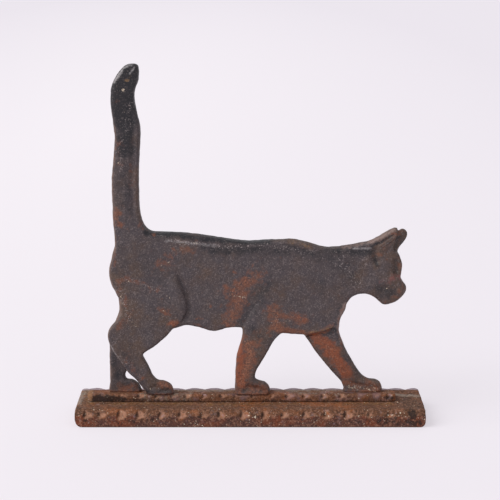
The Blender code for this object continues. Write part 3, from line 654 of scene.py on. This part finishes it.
# What makes the body's faces fuller or hollower: centre, radius, and share of the half thickness
BODY_FORMS = [
    ((10, 76), (34, 18), 0.06),
    ((-36, 62), (9, 16), -0.10),
    ((73, 84), (6, 14), -0.08),
    ((87, 78), (7, 8), 0.05),
    ((94.8, 86.0), (2.6, 5.5), -0.14),
    ((98.6, 88), (1.6, 6), 0.10),
    ((95.5, 69.5), (6, 5), 0.14),
    ((-80, 75), (5, 20), -0.06),
]
# Each limb: outline, side (-1 near, 1 far), muscle's centre and radius, where it starts to sink into the
# flank and where it ends, and how far its near face comes forward to the body's, at the chest
LIMBS = [
    (NEAR_HIND_LEG, -1, (-54, 62), (15, 20), (-58, 66), (-70, 88), 0),
    (FAR_HIND_LEG, 1, (-62, 62), (15, 20), (-66, 66), (-76, 86), 0),
    (NEAR_FORELEG, -1, (10, 52), (12, 18), (12, 52), (27, 66), 0),
    (FAR_FORELEG, 1, (46, 54), (12, 18), (46, 56), (52, 80), 5.4),
]
FLUSH = np.array([(45, 15), (60, 48)], float)  # the far foreleg's near face comes forward from here to here
# The near thigh's long fold, and the courses of the mouth and the eye, which both sides share
THIGH_FOLD = [
    (-48.5, 86), (-46.4, 79.5), (-44.2, 73.6), (-41.4, 66), (-40.4, 58.4), (-41.8, 53), (-47, 47.5),
]
MOUTH = [(84.5, 72.6), (88, 71.2), (92, 71.4), (97.5, 70.6)]
EYE = [(92.2, 80.9), (94.0, 81.1)]
# Folds and grooves cut into the near side, and ridges where the depth is negative: course, width, depth
NEAR_FOLDS = [
    (THIGH_FOLD, 1.6, 1.5),
    ([(-51.5, 80), (-48.2, 70), (-45.8, 61), (-46, 53)], 3.0, -0.6),
    ([(35, 41.2), (42, 42.4), (48.6, 43.9), (56, 47)], 1.0, -0.6),
    ([(36.5, 38.4), (47.4, 41.2), (57, 45)], 1.4, 0.8),
    ([(12, 76), (1.7, 64.3), (-3, 54), (-6, 46)], 4.6, 0.7),
    ([(80.7, 100.2), (88, 104.4), (95.8, 109.6)], 0.9, 0.9),
    ([(83, 98.4), (89.5, 102.4), (95, 107.4)], 0.9, -0.5),
    ([(85.5, 98.6), (91.5, 102.8), (95.4, 106.4)], 0.9, 0.8),
    ([(80.0, 99.6), (81.2, 95), (83.4, 88)], 2.4, 1.6),
    ([(76.4, 96), (77.6, 89)], 1.8, -0.4),
    ([(94.4, 92.5), (96, 87), (95.4, 81.6)], 2.4, 1.6),
    ([(98, 92), (98.8, 86), (98, 81)], 1.2, -0.4),
    ([(88.4, 96), (93.4, 101.6)], 1.2, 0.6),
    ([(63, 96.8), (78, 97.6)], 1.3, 0.4),
    (MOUTH, 2.2, 0.9),
    ([(85.8, 76), (91.5, 77.6), (98, 79.8)], 2.0, -0.6),
    (EYE, 0.9, -0.5),
    ([(88.8, 84), (93, 83.6)], 1.0, 0.4),
    ([(91.4, 98), (96, 104)], 0.9, -0.5),
    ([(-77.9, 196), (-75.6, 183), (-75.8, 157), (-77, 141), (-76, 121), (-71.5, 112)], 1.7, 0.9),
    ([(-73.2, 184), (-72.8, 160), (-73.6, 130), (-71, 116)], 1.2, -0.35),
    ([(-60.5, 2.4), (-54, 2.6)], 0.8, 0.5),
    ([(-67, 4.4), (-60, 5.2)], 1.4, 0.5),
    ([(-58, 5.6), (-53.6, 4.4)], 1.4, -0.5),
    ([(-4, 4.4), (6, 3.8)], 1.6, 0.7),
    ([(2, 6.6), (9.5, 5.6)], 1.2, -0.45),
    ([(6.5, 2.4), (11.5, 2.6)], 0.7, 0.45),
    ([(-86, 4), (-78, 4)], 1.2, 0.4),
    ([(66, 6), (74, 4)], 1.3, 0.6),
    ([(72, 7), (80, 5.6)], 1.3, -0.5),
    ([(78, 3), (86, 2.6)], 0.7, 0.45),
]
FAR_FOLDS = [
    ([(-52, 82), (-48.5, 72), (-46.5, 62), (-48.5, 53)], 1.5, 1.0),
    ([(31, 64), (29, 54), (31, 44)], 1.5, 0.6),
    ([(79.4, 98), (80.4, 94), (81.6, 88)], 1.8, 0.9),
    (MOUTH, 2.0, 0.6),
    ([(85.8, 75.6), (91.5, 77.2), (98, 79.4)], 2.0, -0.4),
    (EYE, 0.9, -0.5),
    ([(93, 99), (99.5, 107)], 0.8, 0.6),
    ([(-77.5, 194), (-74.5, 183), (-75.5, 157), (-77, 141), (-76, 121), (-71.5, 112)], 1.3, 0.4),
]
CASTING_LUMPS = ((11.0, 0.26), (4.5, 0.18), (2.2, 0.13))  # size and height
# Where rust shows, on either side: course, width and strength
RUST = [
    ([(3, 79), (-5, 76), (-11, 70)], 7.5, 0.95), ([(-4, 68), (-11, 58), (-14, 48)], 7.0, 0.95),
    ([(1, 86), (-8, 80)], 5, 0.5), ([(14, 58), (18, 46)], 6.0, 0.95), ([(4, 42), (6, 34)], 4.0, 0.6),
    ([(22, 54), (36, 51)], 5.5, 0.9), ([(16, 46), (26, 42), (37, 41)], 4.0, 0.95),
    ([(-1, 35), (-1, 23), (-5, 9)], 5.5, 1.2), ([(-6, 4), (11, 3)], 4.0, 0.9),
    ([(3, 12), (6, 20)], 2.5, 0.5), ([(43.5, 38.4), (50, 33), (55, 28)], 4.5, 1.1),
    ([(52, 28), (58, 21), (64, 11)], 5.0, 1.0), ([(64, 5), (86, 3)], 4.0, 0.8),
    ([(35, 41), (42, 42.2), (48.6, 43.6), (54, 46)], 2.0, 0.8), ([(58, 41), (60, 33)], 2.2, 0.6),
    ([(-80, 23), (-74, 12)], 4.0, 0.6), ([(-60, 5.6), (-54.6, 4)], 3.0, 1.05),
    ([(-88, 5), (-75, 3)], 3.0, 0.7), ([(-84.8, 78), (-75.7, 75.7), (-60.6, 71.5)], 3.0, 0.62),
    ([(-57.6, 57.4), (-55, 56.4)], 3.4, 0.95), ([(-53.5, 49), (-50.5, 47.5)], 2.4, 1.1),
    ([(-59, 88.6), (-51, 92)], 4.8, 0.6), ([(-50, 97), (-38, 97.5)], 3.4, 0.7),
    ([(-88, 124), (-88, 119), (-86, 114)], 3.6, 1.05), ([(-88, 108), (-90, 84)], 2.6, 0.5),
    ([(-86, 76), (-83, 64), (-80, 53), (-88, 46)], 3.6, 0.62), ([(-84.5, 168), (-85.5, 155)], 3.0, 0.42),
    ([(-76.5, 156), (-76, 142)], 2.6, 0.45), ([(-27, 60.7), (-26.8, 61)], 1.8, 0.9),
    ([(-33.2, 50.6), (-33, 50.8)], 1.4, 0.9), ([(97.5, 93), (98.8, 84)], 2.6, 0.75),
    ([(85, 97.6), (97, 107)], 3.6, 0.5), ([(99.6, 75.6), (101.4, 70.4), (96, 64.6)], 2.6, 0.62),
    ([(83, 101), (93, 107)], 1.4, 0.5), ([(94, 108.6), (97.4, 105.6)], 1.5, 0.95),
    ([(100, 109), (98, 97)], 2.2, 0.4), ([(88, 62), (98, 66)], 2.4, 0.6),
    ([(-72.4, 121.1), (-70.5, 114.5), (-64.4, 109.7)], 1.8, 0.55), ([(-24, 43), (-36, 45)], 1.6, 0.6),
    ([(66, 66), (60.5, 59), (58, 50), (59.2, 40.4)], 1.5, 0.5),
]
# Where it is a soft brick red, on the cheek
BRICK = [([(85.6, 76.4), (92, 77.6)], 2.4, 0.55), ([(92.5, 78.6), (98, 79.8)], 2.4, 0.85)]
# Where it is brightest, on the shins
BRIGHT_RUST = [
    ([(-8.2, 36), (-7.4, 22), (-6, 8)], 4.6, 1.15), ([(43.5, 38.4), (52, 32)], 5.0, 1.15),
    ([(52, 29), (58, 21), (64, 12)], 5.4, 1.2), ([(-53, 48.6), (-51.5, 48)], 1.4, 1.0),
    ([(30, 53), (36, 51)], 2.6, 0.7), ([(-2, 76), (-12, 66)], 4, 0.45),
]
# Where the paint looks brown
BROWN = [
    ([(93, 96), (96, 88), (92, 78)], 7, 0.95), ([(86, 68), (98, 67)], 7, 1.15),
    ([(72, 80), (80, 96)], 4, 0.4), ([(-84, 78), (-78, 52)], 9, 0.5), ([(-84, 30), (-74, 12)], 6, 0.2),
    ([(8, 40), (2, 6)], 6, 0.8), ([(-90, 30), (-90, 4)], 6, 0.4), ([(-66, 8), (-56, 4)], 5, 0.8),
    ([(-72.5, 150), (-72.5, 120)], 3.5, 0.7), ([(46, 30), (84, 4)], 9, 0.7), ([(80, 98), (83, 88)], 3, 0.9),
    ([(84, 98), (98, 110)], 5, 1.1), ([(96, 94), (97.6, 87), (97, 81)], 3.6, 1.2),
    ([(97, 77), (101, 66)], 4, 1.1), ([(26, 103), (39, 99.6)], 2.0, 1.0), ([(101, 109), (98, 98)], 4, 1.1),
]
# Where the black paint is left, and painted shade in the folds, grooves and hollows, on the far hind leg
# behind the near one, on the near shin's right side, and where the paws meet the strip
BLACK_PAINT_AND_SHADE = [
    ([(-68, 109.2), (-46, 107.6), (-26.3, 105), (-6.8, 103), (13, 103)], 2.3, 1.05),
    ([(-30, 99), (-10, 98), (8, 98)], 4.4, 0.8), ([(8, 98), (30, 97), (50, 94)], 4.4, 0.6),
    ([(21, 100.6), (35, 98.2)], 1.3, 0.8), ([(-78, 221), (-83, 203), (-81, 188)], 12.0, 1.5),
    ([(-81, 188), (-80, 165)], 8.0, 1.0), ([(-81, 165), (-81, 130)], 6.0, 0.5),
    ([(12, 74), (3, 64.3), (-3, 54), (-6, 47)], 6.0, 0.55), ([(0, 45), (10, 38)], 5.0, 0.5),
    ([(80.4, 98), (82.8, 89)], 2.3, 0.8), ([(79, 100), (88, 104.4), (95, 108.8)], 1.0, 0.9),
    ([(-68, 2), (-56, 1.2)], 1.7, 0.6), ([(94.6, 91), (96, 87), (95.4, 82.4)], 2.4, 0.7),
    ([(-92, 30), (-88, 10)], 3.5, 0.6), ([(86.5, 70), (90.5, 69.2)], 2.6, 0.5),
    ([(84, 71.5), (91.5, 67.5)], 5.5, 0.8), ([(86, 97), (94, 103)], 4.0, 0.42),
    ([(38.2, 38.6), (47.4, 40.7), (55.6, 44)], 1.9, 1.05), ([(58, 92), (66, 80)], 9, 0.56),
    ([(-78, 88), (-62, 84)], 11, 0.3), ([(44, 74), (54, 66)], 9, 0.3), ([(94, 98), (97.4, 105)], 1.6, 0.7),
    ([(-4, 5), (8, 4.4)], 3.0, 0.85), ([(101.4, 108), (98.8, 100)], 1.8, 0.5),
    ([(-46.4, 79), (-44.2, 73.6), (-41.2, 66), (-40.2, 58.4), (-44.5, 50)], 1.2, 0.5),
    ([(58.4, 60), (56.2, 52), (56, 44), (58.2, 36)], 1.1, 0.5), ([(62, 24), (74, 12)], 3.2, 0.5),
    ([(-86, 33), (-75, 13)], 5.0, 0.3), ([(3, 26), (2, 8)], 3.4, 0.5),
    ([(50, 97), (64, 96.6), (79, 97)], 3.4, 0.85),
]
# Where hands and cloths have rubbed the paint to a light grey, partly painted highlights: on the tail's
# tip, the near thigh's rear edge, the ear's ridges, the neck and the back. Then the upper edge by the
# tail's root, which they have rubbed and which takes a painted highlight
WEAR_AND_HIGHLIGHTS = [
    ([(-82, 214.5), (-87.6, 207.4)], 1.4, 1.0), ([(-81, 216.6), (-76, 218.4)], 1.3, 0.8),
    ([(-73.9, 217), (-76.8, 212.8)], 0.9, 0.95), ([(-92.4, 33), (-84.7, 21.2)], 0.9, 0.7),
    ([(84, 98.6), (90, 102.6), (95, 107.2)], 0.6, 0.6), ([(92, 98.8), (95.6, 103.4)], 0.6, 0.5),
    ([(67, 98.8), (78.6, 99)], 0.9, 0.95), ([(-55, 104), (-42.6, 103), (-22, 100.6)], 1.4, 0.72),
]
HIGHLIT_UPPER_EDGE = [([(-66, 107), (-58, 107)], 3.5, 0.5)]
# Painted light on the crests and upper bands that face the light: along the neck, the ear and the shoulder,
# and down the far foreleg's front edge
LIT_CRESTS = [
    ([(60, 99.6), (68.3, 100.6), (78.7, 102.8)], 1.5, 0.5),
    ([(79, 103), (87.7, 107), (94.4, 110.6)], 1.9, 0.85),
    ([(26, 103.2), (32.4, 102.2), (39, 99.6)], 1.5, 0.3),
    ([(62.5, 61.5), (58.9, 52), (58.6, 44), (61, 35.5)], 1.9, 1.0),
]
# Where the surface is gritty, its flecks along the back being a painted, speckled highlight; where pale
# specks show (a short stroke is one speck), and where it is bronze
GRIT_AND_HIGHLIGHT = [
    ([(50, 96), (78, 95)], 4, 0.7), ([(58, 92), (64, 80), (72, 76)], 9, 0.8),
    ([(74, 92), (80, 76)], 6.0, 0.72), ([(-84, 77), (-60, 72)], 3.0, 0.8),
    ([(-50, 102.5), (-26, 101), (10, 99.5), (40, 97)], 3.4, 0.85), ([(-78, 194), (-79, 176)], 4.0, 0.85),
    ([(-84, 172), (-84, 150)], 3.5, 0.85), ([(-56, 104.6), (-20, 101.4)], 1.8, 1.0),
    ([(-86, 74), (-80, 50)], 4, 0.9), ([(-10, 76), (2, 56), (20, 50)], 7.0, 0.66),
    ([(-6, 34), (-6, 8)], 5.0, 0.6), ([(28, 54), (36, 44)], 5.0, 0.6), ([(42, 35), (64, 8)], 5.0, 0.6),
    ([(-92, 30), (-84, 12)], 4.0, 0.5), ([(-86, 26), (-74, 10)], 4.0, 0.75),
    ([(-90, 125), (-88, 100)], 4.0, 0.55), ([(-64, 4), (-54, 3)], 4.0, 0.6), ([(64, 4), (88, 3)], 4.0, 0.8),
]
SPECKS = [
    ([(-13.4, 68.3), (-1.6, 65.6)], 1.8, 0.95), ([(22, 48), (27, 53)], 3.5, 0.75),
    ([(65, 3.4), (84, 1.8)], 3.6, 1.0), ([(-85.6, 68.3), (-81.9, 57.4), (-75.5, 45.9)], 2.6, 0.85),
    ([(89.2, 71.9), (89.3, 71.9)], 0.4, 2.6), ([(93.3, 80.9), (93.5, 80.9)], 0.6, 1.6),
    ([(-66.6, 3.5), (-66.4, 3.5)], 0.6, 2.4), ([(-6, 66), (-12, 50)], 5.0, 0.5),
    ([(-82.2, 202.2), (-80.8, 202.2)], 2.4, 1.15), ([(-3, 33), (-4, 12)], 5.0, 0.4),
    ([(-50, 104), (-27.8, 101.7)], 1.6, 0.85), ([(-48.8, 98.5), (-40.4, 96.5)], 2.0, 0.8),
    ([(-84.8, 78), (-60.6, 71.5)], 1.6, 0.75), ([(-54.4, 67.6), (-52.6, 66.2)], 1.3, 1.15),
    ([(-81, 188.3), (-80.8, 188.3)], 0.6, 1.5), ([(-80, 173.5), (-79.8, 173.5)], 0.6, 1.5),
    ([(-85.5, 155.3), (-85.3, 155.3)], 0.7, 1.5), ([(-83.4, 163.7), (-83.2, 163.7)], 0.6, 1.5),
    ([(-57.4, 57.6), (-55.4, 56.6)], 1.5, 1.05), ([(-58, 88), (-52, 90)], 2.6, 0.8),
    ([(-67, 73.6), (-63, 72.6)], 2.0, 0.85), ([(-28.4, 61), (-27.4, 60.8)], 1.0, 1.1),
]
BRONZE = [
    ([(-79.4, 208.4), (-78.4, 208.9)], 1.5, 0.95), ([(-77.2, 210.6), (-76.8, 211.2)], 1.0, 0.6),
    ([(26, 103), (32.4, 102), (39, 99.6)], 1.4, 0.6), ([(38, 42), (48.6, 43.9), (54, 46.2)], 0.8, 0.72),
]
# Some tones are painted light: the light brown on edges that face the key light, the pale brown on crests
# that face the light, and the light grey of the worn places, partly a painted highlight
PAINT_TONES = {
    "paint": "#473D3E", "haze": "#57402F", "violet": "#413A3F", "edge": "#4B382E", "left": "#6E5242",
    "rust": "#74452F", "bright": "#A36C4F", "orange": "#864526", "black": "#0D0D14", "wear_and_highlight": "#969190",
    "lit_top": "#806A62", "grain": "#7D706D", "dark": "#2B2426", "fleck": "#A99C98", "speck": "#CDBAA2",
    "bronze": "#80623F", "brick": "#7C4742",
}


def smooth_loop(points, step):
    """Points at an even step on a closed curve through the given ones.

    Each stretch is the cubic that leaves a point along the line between the points on each side of it.
    """
    knots = np.array(points, float)
    t = np.linspace(0, 1, 16, endpoint=False)[None, :, None]
    a, b, c, d = (np.roll(knots, shift, axis=0)[:, None, :] for shift in (1, 0, -1, -2))
    bend, twist = 2 * a - 5 * b + 4 * c - d, 3 * b - a - 3 * c + d
    curve = (0.5 * (2 * b + (c - a) * t + bend * t**2 + twist * t**3)).reshape(-1, 2)
    return evenly(curve, step)


def depth_in(loop, points):
    """How deep each point lies within a closed loop, negative outside: its distance to the nearest side."""
    side = np.roll(loop, -1, axis=0) - loop
    away, within = [], []
    for some in np.array_split(points, 12):
        offset = some[:, None, :] - loop[None]
        share = np.clip((offset * side).sum(2) / (side**2).sum(1), 0, 1)
        away.append(np.linalg.norm(offset - share[..., None] * side, axis=2).min(axis=1))
        spans = (offset[..., 1] < 0) != (offset[..., 1] < side[:, 1])
        run = side[:, 0] / np.where(side[:, 1] == 0, 1, side[:, 1])
        within.append((spans & (offset[..., 0] < offset[..., 1] * run)).sum(axis=1) % 2 == 1)
    return np.concatenate(away) * np.where(np.concatenate(within), 1, -1)


def swell(points, centre, radius):
    """A smooth mound, exp of minus the squared distance over the radius: 1 at its centre."""
    return np.exp(-(((points - np.array(centre)) / np.array(radius)) ** 2).sum(axis=1))


def cast_mass(outline, rounding, face, *form):
    """One mass of the figure, as points in the pattern's place and triangles.

    Its two parameters are the place along the pattern and the height. At a depth d within the outline its
    near and far side stand off the middle by (1 - (1 - d / rounding)^n)^(1 / n) of what face gives there,
    n being the squareness.
    """
    loop = smooth_loop(outline, LOOP_STEP)
    tangent = np.roll(loop, -1, axis=0) - np.roll(loop, 1, axis=0)
    inward = np.stack([-tangent[:, 1], tangent[:, 0]], axis=1)
    inward /= np.linalg.norm(tangent, axis=1, keepdims=True)
    area = (loop[:, 0] * np.roll(loop[:, 1], -1) - np.roll(loop[:, 0], -1) * loop[:, 1]).sum()
    inward *= np.sign(area)
    # Rings of points follow the rounding, left out where they come too near another side, and staggered
    # rows fill what lies within
    kept = [loop]
    for share in RINGS:
        ring = loop + inward * rounding * share
        kept.append(ring[depth_in(loop, ring) > 0.94 * rounding * share])
    low, high = loop.min(axis=0), loop.max(axis=0)
    rows, columns = np.arange(low[1], high[1], FIELD["row"]), np.arange(low[0], high[0], FIELD["column"])
    rows, columns = np.meshgrid(rows, columns, indexing="ij")
    columns[1::2] += FIELD["column"] / 2
    field = np.stack([columns.ravel(), rows.ravel()], axis=1)
    kept.append(field[depth_in(loop, field) > rounding + FIELD["clear"]])
    corners, _, triangles, *_ = delaunay_2d_cdt(
        np.vstack(kept).tolist(), [], [list(range(len(loop)))], 1, 1e-6
    )
    flat = np.array(corners)
    depth = np.clip(depth_in(loop, flat), 0, None)
    rise = (1 - (1 - np.clip(depth / rounding, 0, 1)) ** SQUARENESS) ** (1 / SQUARENESS)
    on_edge = depth < 1e-4
    faces = np.array(triangles)
    behind = np.arange(len(flat))
    behind[~on_edge] = len(flat) + np.arange((~on_edge).sum())
    sides = face(flat, -1, *form), face(flat, 1, *form)
    middle = sum(sides) / 2
    near, far = (np.column_stack([flat[:, 0], middle + (y - middle) * rise, flat[:, 1]]) for y in sides)
    return np.vstack([near, far[~on_edge]]), np.vstack([faces, behind[faces][:, ::-1]])


def thinned(place, mass):
    """The share by which a mass is thinner: it grows evenly over a run, up to its whole amount."""
    start, run, share = THINNING[mass]
    return share * np.clip((place - start) / run, 0, 1)


def body_face(points, side):
    """Where the body's near (-1) or far (1) side stands.

    It is half the thickness plus a crown times 1 - exp(-depth / twice the rounding), all of it times 1 less
    the thinning at the tail's tip and the nose, plus the mounds and hollows.
    """
    thin = thinned(points[:, 1], "tail") + thinned(points[:, 0], "nose")
    forms = sum(share * swell(points, centre, radius) for centre, radius, share in BODY_FORMS)
    depth = np.clip(depth_in(smooth_loop(BODY, 2.0), points), 0, None)
    crown = CROWN * (1 - np.exp(-depth / (2 * BODY_ROUNDING)))
    return side * (HALF_THICKNESS + crown) * (1 - thin + forms)


def limb_face(points, side, limb, muscle, size, sink_from, sink_to, forward):
    """Where a limb's near or far side stands: half its thickness to that side of its middle plane.

    The half is more by the muscle's mound, and less by the share passed of the way on which it sinks into
    the flank. The near side comes forward by the share passed of the way to the chest, to the power of 1.5.
    """
    sunk, flush = (
        np.clip((points - start) @ (end - start) / ((end - start) @ (end - start)), 0, 1)
        for start, end in (np.array([sink_from, sink_to], float), FLUSH)
    )
    full = 1 + MUSCLE_LIFT * swell(points, muscle, size) - LIMB_SINK * sunk
    return limb * LIMB_MIDDLE + side * LIMB_HALF * full - (side < 0) * forward * flush**1.5


def ear_face(points, side, middle, half):
    """Where an ear's near or far side stands: half its thickness to that side, less towards its tip."""
    return middle + side * half * (1 - thinned(points[:, 1], "ear"))


masses = [cast_mass(BODY, BODY_ROUNDING, body_face)]
masses += [cast_mass(outline, LIMB_ROUNDING, limb_face, *form) for outline, *form in LIMBS]
masses += [cast_mass(outline, EAR_ROUNDING, ear_face, *form) for outline, *form in EARS]

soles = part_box("cat_figure")[0].z / MM
pattern_place = np.array([strip_low[0] + REAR_PAW_TO_STRIP_END - REAR_PAW, 0, soles])
starts = np.cumsum([0] + [len(points) for points, _ in masses])
points = np.vstack([points for points, _ in masses]) + pattern_place
faces = np.vstack([faces + start for (_, faces), start in zip(masses, starts)])
cat = surface("cat_figure_iron", points, faces.tolist(), {})
united = cat.modifiers.new("united", "REMESH")
united.mode = "VOXEL"
united.voxel_size = VOXEL * MM
fillets = cat.modifiers.new("fillets", "SMOOTH")
fillets.factor = 0.5
fillets.iterations = 4
settle(cat)

count = len(cat.data.vertices)
points, normal = np.zeros(3 * count), np.zeros(3 * count)
cat.data.vertices.foreach_get("co", points)
cat.data.vertices.foreach_get("normal", normal)
points, normal = points.reshape(-1, 3) / MM, normal.reshape(-1, 3)
pattern = (points - pattern_place)[:, ::2]
facing_near = np.clip(-normal[:, 1], 0, 1)
facing_far = np.clip(normal[:, 1], 0, 1)
lift = sum(tall * lumps(points, cell, 21 + k) for k, (cell, tall) in enumerate(CASTING_LUMPS))
for table, facing in ((NEAR_FOLDS, facing_near), (FAR_FOLDS, facing_far)):
    for course, width, depth in table:
        away, passed = along_course(pattern, course)
        fading = np.clip(np.minimum(passed, 1 - passed) / FOLD_FADE, 0, 1)
        lift -= depth * np.exp(-((away / width) ** 2)) * fading * facing
# The relief fades out just above the soles, where the paws flare out to meet the strip
lift *= np.clip(pattern[:, 1] / SOLE["relief"], 0, 1)
flare = SOLE["flare"] * np.exp(-np.clip(pattern[:, 1], 0, None) / SOLE["flare_height"])
points = points + normal * lift[:, None]
points[:, :2] += normal[:, :2] * flare[:, None]
points[:, 2] = np.maximum(points[:, 2], soles - PAW_SEAT)
on_sole = pattern[:, 1] < SOLE["flat"]
points[on_sole & (normal[:, 2] < -0.5), 2] = soles - PAW_SEAT
cat.data.vertices.foreach_set("co", (points * MM).ravel())
# The edges of the patches wander by lumps of 8 and 3 mm, each kind of patch by its own amount
wander = np.stack([lumps(points, 8, seed) + 0.5 * lumps(points, 3, seed + 2) for seed in (31, 32)], axis=1)
# How much a point lies on an edge; on one that faces the tail end and the key light, which takes painted
# light; and on an upper edge seen from in front, where a painted highlight goes
edge = np.clip(1.2 - np.abs(normal[:, 1]) * 1.4, 0, 1)
left = np.clip(-1.4 * normal[:, 0] - 0.3, 0, 1)
highlight_edge = np.exp(-(((normal[:, 2] - 0.62) / 0.25) ** 2)) * facing_near**0.5
shares = {
    "brown": 0.45 + strokes(pattern, BROWN),
    "rust": strokes(pattern + 2.2 * wander, RUST) + 0.8 * np.exp(-np.clip(pattern[:, 1], 0, None) / 1.5),
    "orange": strokes(pattern + 1.6 * wander, BRIGHT_RUST),
    # Black paint, and painted shade in folds, grooves and hollows
    "black": strokes(pattern + 0.8 * wander, BLACK_PAINT_AND_SHADE),
    "clear": 0.5 - 0.16 * np.clip(strokes(pattern, BLACK_PAINT_AND_SHADE), 0, 1),
    "brick": strokes(pattern, BRICK),
    # Rubbed grey, partly painted highlights, and a painted highlight on the upper edge by the tail's root
    "wear_and_highlight": strokes(pattern + 0.3 * wander, WEAR_AND_HIGHLIGHTS) + highlight_edge * strokes(pattern, HIGHLIT_UPPER_EDGE),
    "edge": edge * (1 - left),
    # Painted light on the edges that face the key light
    "left": left,
    # Painted light on the crests that face the light
    "lit_top": strokes(pattern + 0.5 * wander, LIT_CRESTS),
    # Gritty flecks, which along the back are a painted, speckled highlight
    "grit_and_highlight": strokes(pattern + 1.6 * wander, GRIT_AND_HIGHLIGHT),
    "speck": strokes(pattern, SPECKS),
    "bronze": strokes(pattern, BRONZE),
}
for share, values in shares.items():
    cat.data.attributes.new(share, "FLOAT", "POINT").data.foreach_set("value", values.astype(np.float32))
cat.data.shade_smooth()
bore(cat)

# A thin dull skin of paint, satin where it is still black, with rust and light flecks coming through, and
# with painted light, highlights and shade on its edges, crests, grooves and hollows. The sand's grains of
# 0.2 mm are too fine to show, so they are drawn about 1 and 2 mm wide
paint_layers = [
    ("brown", 20, 3.0, 0.2, 1.2, 0.7, "haze"),
    ("", 7, 3.0, 0.3, 1.0, 0.5, "violet"),
    ("edge", 4, 1.6, 0.3, 1.1, 0.6, "edge"),
    # Painted light on the edges that face the key light
    ("left", 3, 2.4, 0.2, 1.1, 0.75, "left"),
    ("", 1.3, 3.2, 0.45, 1.0, 0.5, "dark"),
    # Black paint, and painted shade in folds, grooves and hollows
    ("black", 5, 1.6, 0.1, 1.1, 0.92, "black"),
    ("clear", 0.9, 3.2, 0.5, 1.0, 0.45, "grain"),
    # Painted light on the crests that face the light
    ("lit_top", 2, 2.0, 0.2, 1.0, 0.85, "lit_top"),
    ("rust", 3.5, 2.6, 0.3, 1.2, 0.9, "rust"),
    ("orange", 3, 2.0, 0.3, 1.2, 0.9, "orange"),
    ("brick", 2.5, 2.2, 0.3, 1.2, 0.8, "brick"),
    ("rust", 1.4, 3.6, 0.65, 1.4, 0.38, "dark"),
    ("rust", 1.0, 3.6, 0.9, 1.6, 0.6, "bright"),
    # Gritty flecks, which along the back are a painted, speckled highlight
    ("grit_and_highlight", 0.9, 3.2, 0.9, 1.5, 0.75, "fleck"),
    ("", 0.8, 3.2, 0.92, 1.25, 0.6, "fleck"),
    # Rubbed grey, partly painted highlights
    ("wear_and_highlight", 1.3, 1.6, 0.3, 1.2, 0.8, "wear_and_highlight"),
    ("bronze", 1.2, 2.6, 0.4, 1.1, 0.8, "bronze"),
    ("speck", 1.2, 3.0, 1.05, 1.4, 0.9, "speck"),
]
BLACK_LAYER = 5
cat.data.materials.append(finish(
    "worn_black_paint_on_cast_iron", PAINT_TONES, "paint", paint_layers, (BLACK_LAYER, 0.62, 0.42),
    ((1.8, 0.22), (0.9, 0.16)), {},
))
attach(cat, "root")
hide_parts("cat_figure")

# Screws
# Three slotted countersunk steel screws, which go up through the slab and the strip into the paws. The CAD
# shapes stay, and only show from below, dark and dull.

STEEL_TONES = {"steel": "#5A504A", "dark": "#3B3431", "rust": "#7A4E38"}

# Steel gone dark and dull, with rust in a few small spots
steel = finish(
    "darkened_steel", STEEL_TONES, "steel",
    [("", 1.2, 1.0, 0.45, 0.6, 0.8, "dark"), ("", 0.8, 1.0, 0.6, 0.7, 0.8, "rust")],
    (0, 0.38, 0.6), ((0.7, 0.03),), {"Metallic": 0.8},
)
for name in SCREWS:
    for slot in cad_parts[name].material_slots:
        slot.material = steel

# Floor, light and camera
# A seamless sweep of pale lilac paper under one large soft light from the upper left, as in a catalogue
# photograph. The camera looks down a little from straight in front.

scene = bpy.context.scene
scene.view_settings.view_transform = "Standard"
camera = bpy.data.objects.new("camera", bpy.data.cameras.new("camera"))
scene.collection.objects.link(camera)
camera.data.lens = 115.5
camera.location = (-0.0001, -1.03, 0.3343)
camera.rotation_euler = (math.radians(77.9), 0, 0)
scene.camera = camera

key = bpy.data.objects.new("soft_key", bpy.data.lights.new("soft_key", "SUN"))
scene.collection.objects.link(key)
key.data.energy = 2.4
key.data.angle = math.radians(50)
key.rotation_euler = (math.radians(50), 0, math.radians(-68))

bpy.ops.mesh.primitive_plane_add(size=30)
floor = bpy.context.object
floor.name = "floor"
# Matt paper that looks nearly as pale as the wall behind, also in a reflection, and still takes a soft
# shadow. A painted pool of light makes it a little lighter in a patch whose middle lies 0.24 m to the left
# and 1.4 m behind, and which reaches 0.8 m to each side and 4 m to the front and back
paper = bpy.data.materials.new("pale_paper_sweep")
paper.use_nodes = True
tree = paper.node_tree
shader = tree.nodes["Principled BSDF"]
shader.inputs["Base Color"].default_value = linear("#EDE7ED")
shader.inputs["Roughness"].default_value = 0.9
shader.inputs["Specular IOR Level"].default_value = 0.1
place = add(tree, "TexCoord", {}).outputs["Object"]
light_pool_place = add(
    tree, "Mapping", {"Vector": place, "Location": (0.3, -0.35, 0), "Scale": (1 / 0.8, 1 / 4, 1)},
).outputs[0]
light_pool = add(tree, "TexGradient", {"Vector": light_pool_place}, gradient_type="SPHERICAL").outputs["Fac"]
tone = add(
    tree, "Mix", {0: light_pool, 6: linear("#E9E4EB"), 7: linear("#FBF6FA")}, data_type="RGBA",
).outputs[2]
glow = add(tree, "Emission", {"Color": tone}).outputs[0]
rays = add(tree, "LightPath", {}).outputs
seen = rays["Is Camera Ray"]
for kind in ("Is Glossy Ray", "Is Transmission Ray"):
    seen = add(tree, "Math", {0: seen, 1: rays[kind]}, operation="ADD", use_clamp=True).outputs[0]
lit = add(tree, "Math", {0: seen, 1: 0.6}, operation="MULTIPLY").outputs[0]
mixed = add(tree, "MixShader", {0: lit, 1: shader.outputs[0], 2: glow}).outputs[0]
tree.links.new(mixed, tree.nodes["Material Output"].inputs["Surface"])
floor.data.materials.append(paper)
world = bpy.data.worlds.new("world")
scene.world = world
world.use_nodes = True
world.node_tree.nodes["Background"].inputs["Color"].default_value = linear("#F4F3F8")
world.node_tree.nodes["Background"].inputs["Strength"].default_value = 0.62
